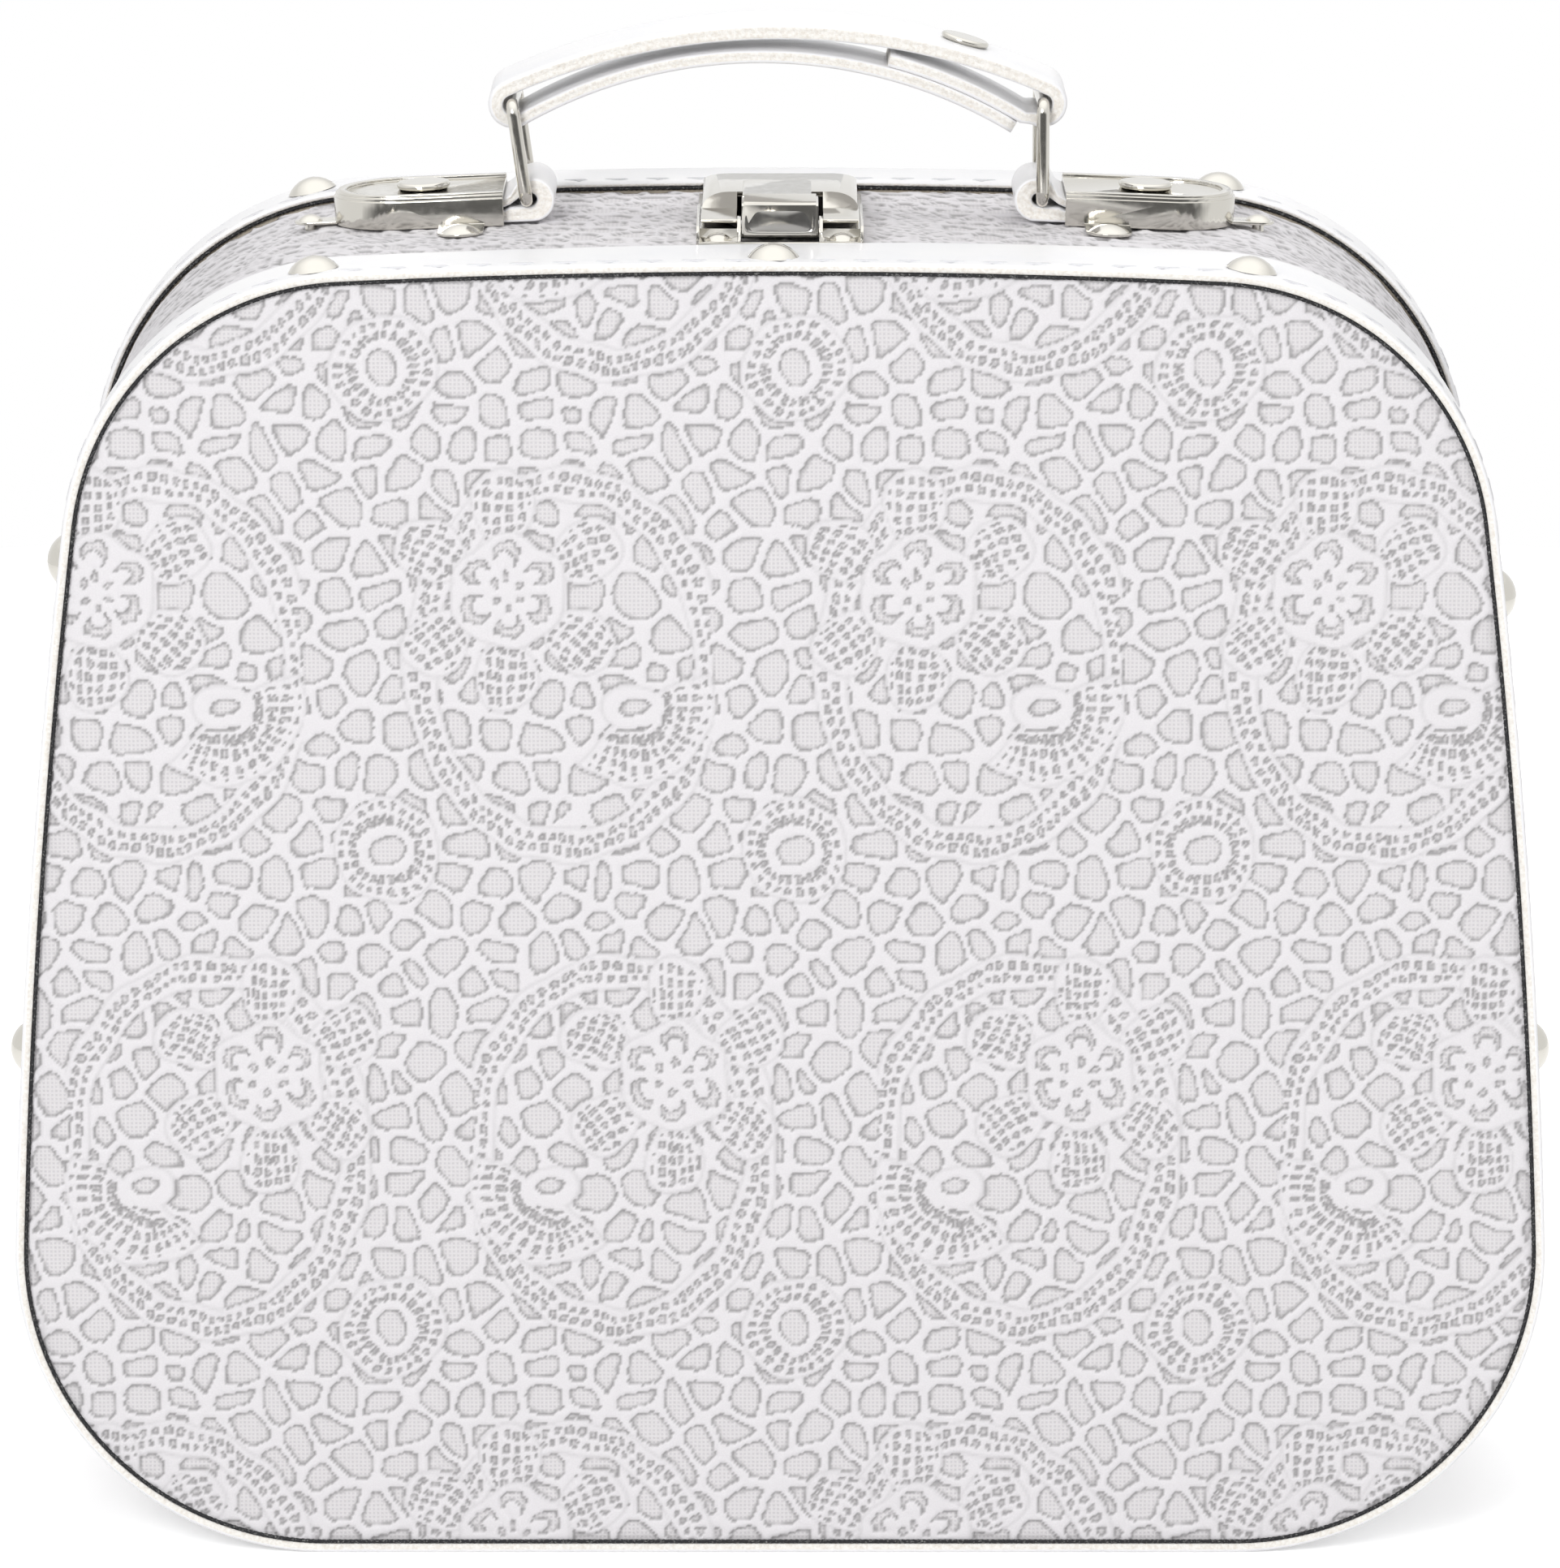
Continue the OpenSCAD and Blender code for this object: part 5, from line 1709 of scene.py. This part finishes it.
@dataclass
class Strip:
    """A thick leather strip that follows two lines in X and Z.

    A section's point is (Y, depth from the outer face, share of the way to the
    inner face).

    Attributes:
        outer: Points of the outer face's line.
        inner: The inner face's line, point by point.
        middle_y: Where the strip's middle lies.
        width: Its width.
        bend: Radius of its outer edges.
    """

    outer: np.ndarray
    inner: np.ndarray
    middle_y: float
    width: float = 22.0
    bend: float = 0.7

    def mesh(self, name: str, finishes: Finishes) -> bpy.types.Object:
        """Makes the strip: smooth faces, soft edges and fibrous cut sides.

        Args:
            name: The strip's name.
            finishes: The finishes.

        Returns:
            The strip.
        """
        half, bend = self.width / 2, self.bend
        thick = np.linalg.norm(self.outer - self.inner, axis=1)
        side = [(half - bend + bend * math.sin(a), bend - bend * math.cos(a), 0.0)
                for a in np.linspace(0.0, math.pi / 2, EDGE_POINTS)]
        side += [(half + 0.05, 0.0, 0.38), (half - 0.25, 0.0, 0.5), (half + 0.05, 0.0, 0.62)]
        side += [(half, -0.35, 1.0), (half - 0.3, -0.08, 1.0), (half - 1.0, 0.0, 1.0)]
        middle_in = [(y, 0.0, 1.0) for y in (6.0, 0.0, -6.0)]
        other = [(-y, b, share) for y, b, share in side[::-1]]
        middle_out = [(y, 0.0, 0.0) for y in (-8.0, -4.0, 0.0, 4.0, 8.0)]
        section = side + middle_in + other + middle_out
        count, rows = len(self.outer), len(section)
        points = np.zeros((count, rows, 3))
        for j, (y, depth, share) in enumerate(section):
            part = np.clip(share + depth / thick, 0.0, 1.0)
            place = self.outer + (self.inner - self.outer) * part[:, None]
            points[:, j, 0], points[:, j, 2] = place[:, 0], place[:, 1]
            points[:, j, 1] = self.middle_y + y
        quads = grid_faces(count, rows, False, True)
        column = np.tile(np.arange(rows), count - 1)
        first, last = EDGE_POINTS - 1, len(side) - 3
        other_start = len(side) + len(middle_in)
        mirror_first, mirror_last = other_start + 2, other_start + len(side) - EDGE_POINTS - 1
        cut = ((column >= first) & (column <= last)) | ((column >= mirror_first) & (column <= mirror_last))
        faces = quads.tolist() + [list(range(rows)), list(range((count - 1) * rows, count * rows))]
        slots = list(np.where(cut, 1, 0)) + [1, 1]
        thing = mesh_object(name, points.reshape(-1, 3), faces, [finishes.leather, finishes.cut_edge], slots)
        outward(thing)
        return thing


@dataclass
class Strap:
    """The wound leather strap between the two rings.

    Its own plane is (u, w): u along the line through the two bars, w upwards.
    From its inner end it runs to the right bar, over the top to the left bar
    and back underneath to its free end.

    Attributes:
        finishes: The finishes.
        bars: X and Z of the two rings' bars.
        middle_y: Where its middle lies.
        rise: Height of the upper run over the bars.
        end_r: Outer radius round a bar.
        upper_t: Thickness of the upper run.
        lower_t: Thickness of the lower run.
        depth: From the upper run's top to the lower run's underside, at the middle.
        under_x: Shift of the lower run's middle.
        free_end: Where the free end lies.
        inner_end: Where the inner end lies.
        inner_stop: Where the inner end's layer meets the bar.
        bar_r: Inner radius where the turn round the right bar starts.
    """

    finishes: Finishes
    bars: tuple[tuple[float, float], tuple[float, float]] = ((-53.5982, 285.475), (52.7043, 285.661))
    middle_y: float = 11.25
    rise: float = 16.1
    end_r: float = 4.9
    upper_t: float = 3.2
    lower_t: float = 2.6
    depth: float = 8.0
    under_x: float = -3.5
    free_end: float = 48.0
    inner_end: float = 22.0
    inner_stop: float = 48.5
    bar_r: float = 2.2

    def __post_init__(self) -> None:
        """Works out the arcs of the two runs."""
        low, high = (np.array(b) for b in self.bars)
        self.middle = (low + high) / 2
        self.half = float(np.linalg.norm(high - low)) / 2
        self.along = (high - low) / (2 * self.half)
        rise, end, half = self.rise, self.end_r, self.half
        under, span = rise - self.depth, half + self.under_x
        self.upper_r = (half**2 + rise**2 - end**2) / (2 * (rise - end))
        self.lower_r = (span**2 + under**2 - end**2) / (2 * (under + end))
        self.upper_c = np.array([0.0, rise - self.upper_r])
        self.lower_c = np.array([self.under_x, under - self.lower_r])

    def path(self) -> tuple[np.ndarray, np.ndarray]:
        """The strip's two lines from its inner end to its free end.

        Returns:
            The outer and the inner line as (u, w) points.
        """
        outer, inner = [], []

        def arc(centre: np.ndarray, first: float, last: float, count: int, r_out: tuple, r_in: tuple) -> None:
            """Adds an arc to both lines.

            Args:
                centre: The arc's centre.
                first: Its first angle in degrees.
                last: Its last angle.
                count: Number of points.
                r_out: The outer line's first and last radius.
                r_in: The inner line's first and last radius.
            """
            for i in range(count):
                f = i / (count - 1)
                t = math.radians(first + (last - first) * f)
                ray = np.array([math.cos(t), math.sin(t)])
                outer.append(centre + ray * (r_out[0] + (r_out[1] - r_out[0]) * f))
                inner.append(centre + ray * (r_in[0] + (r_in[1] - r_in[0]) * f))

        def angle_at(centre: np.ndarray, radius: float, u: float) -> float:
            """The angle in degrees at which a circle reaches u."""
            return math.degrees(math.acos((u - centre[0]) / radius))

        low_top = self.lower_r + self.lower_t
        tail_top = low_top + self.lower_t
        arc(self.lower_c, angle_at(self.lower_c, low_top, self.inner_end),
            angle_at(self.lower_c, low_top, self.inner_stop), 14, (low_top + 0.05,) * 2, (tail_top,) * 2)
        upper = math.degrees(math.atan2(-self.upper_c[1], self.half))
        lower = math.degrees(math.atan2(self.lower_c[1], self.half + self.under_x))
        right, left = np.array([self.half, 0.0]), np.array([-self.half, 0.0])
        arc(right, -118.0, upper - 2.0, 22, (self.end_r,) * 2, (self.bar_r, self.end_r - self.upper_t))
        arc(self.upper_c, upper, 180.0 - upper, 56, (self.upper_r,) * 2, (self.upper_r - self.upper_t,) * 2)
        arc(left, 182.0 - upper, 360.0 + lower - 2.0, 22, (self.end_r,) * 2,
            (self.end_r - self.upper_t, self.end_r - self.lower_t))
        start = math.degrees(math.acos(-(self.half + self.under_x) / (self.lower_r + self.end_r)))
        arc(self.lower_c, start, angle_at(self.lower_c, low_top, self.free_end), 44,
            (self.lower_r,) * 2, (low_top,) * 2)
        return np.array(outer), np.array(inner)

    def place(self, flat: np.ndarray) -> np.ndarray:
        """Moves (u, w) points to X and Z."""
        across = np.array([-self.along[1], self.along[0]])
        return self.middle + flat[:, :1] * self.along + flat[:, 1:] * across

    def build(self) -> None:
        """Makes the strap."""
        outer, inner = self.path()
        strip = Strip(self.place(outer), self.place(inner), self.middle_y)
        thing = strip.mesh("wound_strap", self.finishes)
        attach(thing, "handle")
        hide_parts("handle_strap")


@dataclass
class Tab:
    """A leather tab: a loop round a ring's bar, with both ends under its plate.

    Attributes:
        shape: The case's outline.
        finishes: The finishes.
        handle_x: X of the handle's middle.
        plate_x: Distance of a plate's middle from it.
        plate_l: A plate's length.
        middle_y: Where the tab's middle lies.
        bar: The bar's place in the plate's own plane.
        loop_r: Outer radius of the loop.
        inside: How far the ends reach under the plate.
        seat: From the outline's top to the plate's plane.
        bend: Radius of the tab's outer edges.
    """

    shape: CaseShape
    finishes: Finishes
    handle_x: float = 0.9
    plate_x: float = 73.6
    plate_l: float = 34.6
    middle_y: float = 11.25
    bar: tuple[float, float] = (-22.0, 4.6)
    loop_r: float = 4.4
    inside: float = 9.0
    seat: float = 1.6
    bend: float = 0.5

    def lines(self) -> tuple[np.ndarray, np.ndarray]:
        """The tab's two lines in its plate's own plane.

        Returns:
            The outer and the inner line.
        """
        bx, bz = self.bar
        loop_x = bx - 1.2
        end = -self.plate_l / 2
        outer = [(self.inside, 4.55), (-6.0, 4.7), (end + 1.5, 4.95), (end, 5.05), (end - 1.6, 6.0),
                 (bx + 1.7, bz + 3.75)]
        inner = [(self.inside, 2.7), (-6.0, 2.8), (end + 1.5, 3.0), (end + 0.4, 3.1), (bx + 3.4, 3.75),
                 (bx + 0.9, 5.45)]
        for i in range(25):
            t = math.radians(90.0 + 7.5 * i)
            outer.append((loop_x + self.loop_r * math.cos(t), bz + self.loop_r * math.sin(t)))
            inner.append((bx - 0.5 + 1.55 * math.cos(t), bz + 0.05 + 1.35 * math.sin(t)))
        outer += [(bx + 3.0, 0.2), (end, 0.2), (-6.0, 0.2), (self.inside, 0.2)]
        inner += [(bx + 3.4, 3.2), (end, 2.6), (-6.0, 2.5), (self.inside, 2.45)]
        return np.array(outer), np.array(inner)

    def build(self) -> None:
        """Makes both tabs."""
        tilt = math.asin(self.plate_x / self.shape.top_radius)
        base_z = self.shape.top_z(self.plate_x) + self.seat
        outer, inner = self.lines()
        for side, label in ((-1, "left"), (1, "right")):
            def place(flat: np.ndarray) -> np.ndarray:
                """Moves points of the plate's plane to X and Z.

                Args:
                    flat: The points.

                Returns:
                    Their X and Z.
                """
                x = flat[:, 0] * math.cos(tilt) + flat[:, 1] * math.sin(tilt)
                z = -flat[:, 0] * math.sin(tilt) + flat[:, 1] * math.cos(tilt)
                return np.stack([side * (self.plate_x + x) + self.handle_x, base_z + z], axis=1)
            strip = Strip(place(outer), place(inner), self.middle_y, bend=self.bend)
            thing = strip.mesh(f"tab_{label}", self.finishes)
            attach(thing, "case_body")
            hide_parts(f"handle_tab_{label}")


@dataclass
class PressFace:
    """The cushioned front of the latch's press block, and its light rim.

    Attributes:
        shape: The case's outline.
        finishes: The finishes.
        half: Half its width.
        low: Its lower edge above the crown.
        high: Its upper edge above the crown.
        front: How far it lies behind the front of the case.
        crown: How far its middle bulges.
        lean: How far its upper edge leans back.
        around: Points in a ring.
        rim: Share of the size at which the cushion starts inside the rim.
    """

    shape: CaseShape
    finishes: Finishes
    half: float = 7.0
    low: float = 3.9
    high: float = 9.25
    front: float = 25.55
    crown: float = 0.4
    lean: float = 0.2
    around: int = 64
    rim: float = 0.885

    def build(self) -> None:
        """Makes the cushion as rings that shrink towards its middle."""
        y0 = self.shape.front_y
        middle = (self.low + self.high) / 2
        half_z = (self.high - self.low) / 2
        around = self.around
        rings = [(1.0, 0.25), (1.0, 0.0), (0.985, -0.08), (0.96, -0.12), (0.935, -0.1), (0.91, -0.04),
                 (self.rim, 0.0)]
        rings += [(s, -self.crown * (1.0 - (s / self.rim) ** 2)) for s in np.linspace(0.84, 0.04, 14)]
        points = []
        for share, push in rings:
            for k in range(around):
                t = 2 * math.pi * (k + 0.5) / around
                power = 2.0 / (3.0 + 5.0 * share)
                cx = math.copysign(abs(math.cos(t)) ** power, math.cos(t))
                cz = math.copysign(abs(math.sin(t)) ** power, math.sin(t))
                lean = self.lean * cz * share
                points.append((cx * self.half * share, y0 + self.front + push + lean,
                               self.shape.crown_z + middle + cz * half_z * share))
        rows = len(rings)
        faces = grid_faces(rows, around, False, True).tolist()
        faces += [list(range(around)), list(range((rows - 1) * around, rows * around))]
        thing = mesh_object("press_face", np.array(points), faces, [self.finishes.rubbed_nickel])
        outward(thing)
        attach(thing, "lever")


@dataclass
class Dressing:
    """Gives the solid model's own parts their finishes."""

    frame: dict
    finishes: Finishes

    def build(self) -> None:
        """Assigns a finish to every part by its record slot."""
        by_slot = {
            "board": self.finishes.board, "lace": self.finishes.lace, "binding": self.finishes.leather,
            "edge_cord": self.finishes.cord, "lining": self.finishes.lining, "nickel": self.finishes.nickel,
            "steel": self.finishes.steel, "strap_leather": self.finishes.leather,
        }
        for entry in self.frame["record"]["subparts"]:
            node = self.frame["nodes"][entry["node"]]
            node.data.materials.clear()
            node.data.materials.append(by_slot[entry["material_slot"]])


@dataclass
class Studio:
    """Floor, soft lamps, world and camera.

    Attributes:
        elevation: The camera's height angle in degrees.
        azimuth: Its angle round the box.
        distance: From the camera to its target.
        focal_px: The camera's focal length in pixels of its frame.
        frame_px: The frame's longer side in pixels.
        sensor: Width of the camera's sensor.
        ambient: Strength of the light that comes from all round.
        dark_side: How light metal sees the camera's side near the ground.
        overhead: Extra light that metal sees from above.
        floor_radius: Radius of the floor.
        target: Where the camera looks.
        aim_z: Height at which the lamps aim.
    """

    elevation: float = 13.0
    azimuth: float = 0.0
    distance: float = 1636.0
    focal_px: float = 10220.0
    frame_px: float = 1932.0
    ambient: float = 0.35
    dark_side: float = 0.15
    overhead: float = 0.6
    floor_radius: float = 1000.0
    target: tuple[float, float, float] = (0.0, -56.25, 158.7)
    sensor: float = 36.0
    aim_z: float = 140.0

    def build(self) -> None:
        """Sets up everything around the card box."""
        scene = bpy.context.scene
        scene.view_settings.view_transform = "Standard"
        self.world(scene)
        self.floor()
        self.lamp("key", (-600, -1400, 1000), 600, 16.0)
        self.lamp("fill", (900, -900, 700), 900, 4.0)
        self.lamp("top", (0, 200, 1500), 1000, 4.8)
        self.lamp("back", (300, 1300, 900), 900, 8.0)
        self.camera(scene)

    def world(self, scene: bpy.types.Scene) -> None:
        """A white surrounding, darker to metal on the camera's side near the ground.

        Args:
            scene: The scene that it belongs to.
        """
        world = bpy.data.worlds.new("studio")
        world.use_nodes = True
        world.node_tree.nodes.clear()
        board = Board(world.node_tree)
        path = board.add("ShaderNodeLightPath")
        way = board.add("ShaderNodeSeparateXYZ", {0: board.add("ShaderNodeTexCoord").outputs["Generated"]})
        high = board.math("MULTIPLY", board.math("MAXIMUM", way.outputs[2], 0.0), 1.4)
        near = board.ramp(board.math("ADD", way.outputs[1], high), -0.75, -0.3)
        dim = board.math("ADD", board.math("MULTIPLY", near, 1.0 - self.dark_side), self.dark_side)
        overhead = board.math("MULTIPLY", board.ramp(way.outputs[2], 0.45, 0.9), self.overhead)
        glossy = board.math("MAXIMUM", path.outputs["Is Glossy Ray"], path.outputs["Is Transmission Ray"])
        shown = board.math("MULTIPLY", glossy, board.math("ADD", dim, overhead))
        seen = board.math("MAXIMUM", glossy, path.outputs["Is Camera Ray"])
        soft = board.math("MULTIPLY", board.math("SUBTRACT", 1.0, seen), self.ambient)
        strength = board.math("ADD", board.math("MAXIMUM", shown, path.outputs["Is Camera Ray"]), soft)
        light = board.add("ShaderNodeBackground", {"Color": (1, 1, 1, 1), "Strength": strength})
        board.add("ShaderNodeOutputWorld", {"Surface": light.outputs[0]})
        scene.world = world

    def floor(self) -> None:
        """A pale round floor that keeps the box's shadow."""
        material = bpy.data.materials.new("floor")
        material.use_nodes = True
        material.node_tree.nodes.clear()
        board = Board(material.node_tree)
        path = board.add("ShaderNodeLightPath")
        paint = board.add("ShaderNodeBsdfDiffuse", {"Color": (0.9, 0.9, 0.9, 1)})
        glow = board.add("ShaderNodeEmission", {"Color": (1, 1, 1, 1), "Strength": 0.4})
        total = board.add("ShaderNodeAddShader", {0: paint.outputs[0], 1: glow.outputs[0]})
        view = board.math("MAXIMUM", path.outputs["Is Camera Ray"], path.outputs["Is Glossy Ray"])
        mixed = board.add("ShaderNodeMixShader", {0: view, 1: paint.outputs[0], 2: total.outputs[0]})
        board.add("ShaderNodeOutputMaterial", {"Surface": mixed.outputs[0]})
        turns = np.arange(96) * 2 * math.pi / 96
        points = np.stack([np.cos(turns), np.sin(turns), np.zeros(96)], axis=1) * self.floor_radius
        mesh_object("floor", points, [list(range(96))], [material], smooth=False)

    def lamp(self, name: str, place: tuple[float, float, float], size: float, power: float) -> None:
        """Adds a square soft lamp that faces the box. Metal shows the key lamp alone.

        Args:
            name: The lamp's name.
            place: Where it stands.
            size: Its side.
            power: Its power in watts.
        """
        data = bpy.data.lights.new(name, "AREA")
        data.energy = power
        data.size = size * MM
        thing = bpy.data.objects.new(name, data)
        thing.visible_glossy = name == "key"
        thing.location = Vector(place) * MM
        aim = Vector((0.0, 0.0, self.aim_z)) * MM - thing.location
        thing.rotation_euler = aim.to_track_quat("-Z", "Y").to_euler()
        bpy.context.scene.collection.objects.link(thing)

    def camera(self, scene: bpy.types.Scene) -> None:
        """Places the camera in front, a little above the box.

        Args:
            scene: The scene that it belongs to.
        """
        data = bpy.data.cameras.new("camera")
        data.sensor_fit = "AUTO"
        data.sensor_width = self.sensor
        data.lens = self.sensor * self.focal_px / self.frame_px
        data.clip_end = 20.0
        thing = bpy.data.objects.new("camera", data)
        e, a = math.radians(self.elevation), math.radians(self.azimuth)
        back = Vector((math.sin(a) * math.cos(e), -math.cos(a) * math.cos(e), math.sin(e)))
        thing.location = (Vector(self.target) + back * self.distance) * MM
        thing.rotation_euler = (-back).to_track_quat("-Z", "Y").to_euler()
        scene.collection.objects.link(thing)
        scene.camera = thing


def main() -> None:
    """Builds the scene piece by piece."""
    logging.basicConfig(level=logging.INFO, format="%(name)s: %(message)s")
    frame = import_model()
    Studio().build()
    LOG.info("studio ready")
    finishes = Finishes()
    Dressing(frame, finishes).build()
    shape = CaseShape()
    LOG.info("case %.1f mm high", shape.case_h)
    for piece in (Lace(shape, finishes), Binding(shape, finishes), Cord(shape, finishes),
                  Stitches(shape, finishes), Strap(finishes), Tab(shape, finishes),
                  PressFace(shape, finishes)):
        piece.build()
        LOG.info("%s built", type(piece).__name__.lower())
    soft = SoftEdges(frame, finishes)
    latch_floor = shape.crown_z + LATCH_FLOOR
    for node, body, width, above in (
        ("latch_base", "case_body", 0.25, latch_floor), ("latch_catch", "case_lid", 0.35, 0.0),
        ("latch_lever", "lever", 0.4, 0.0),
        ("handle_plate_left", "case_body", 0.5, 0.0), ("handle_plate_right", "case_body", 0.5, 0.0),
    ):
        soft.copy(node, body, width, above)
        LOG.info("%s softened", node)


if __name__ == "__main__":
    main()
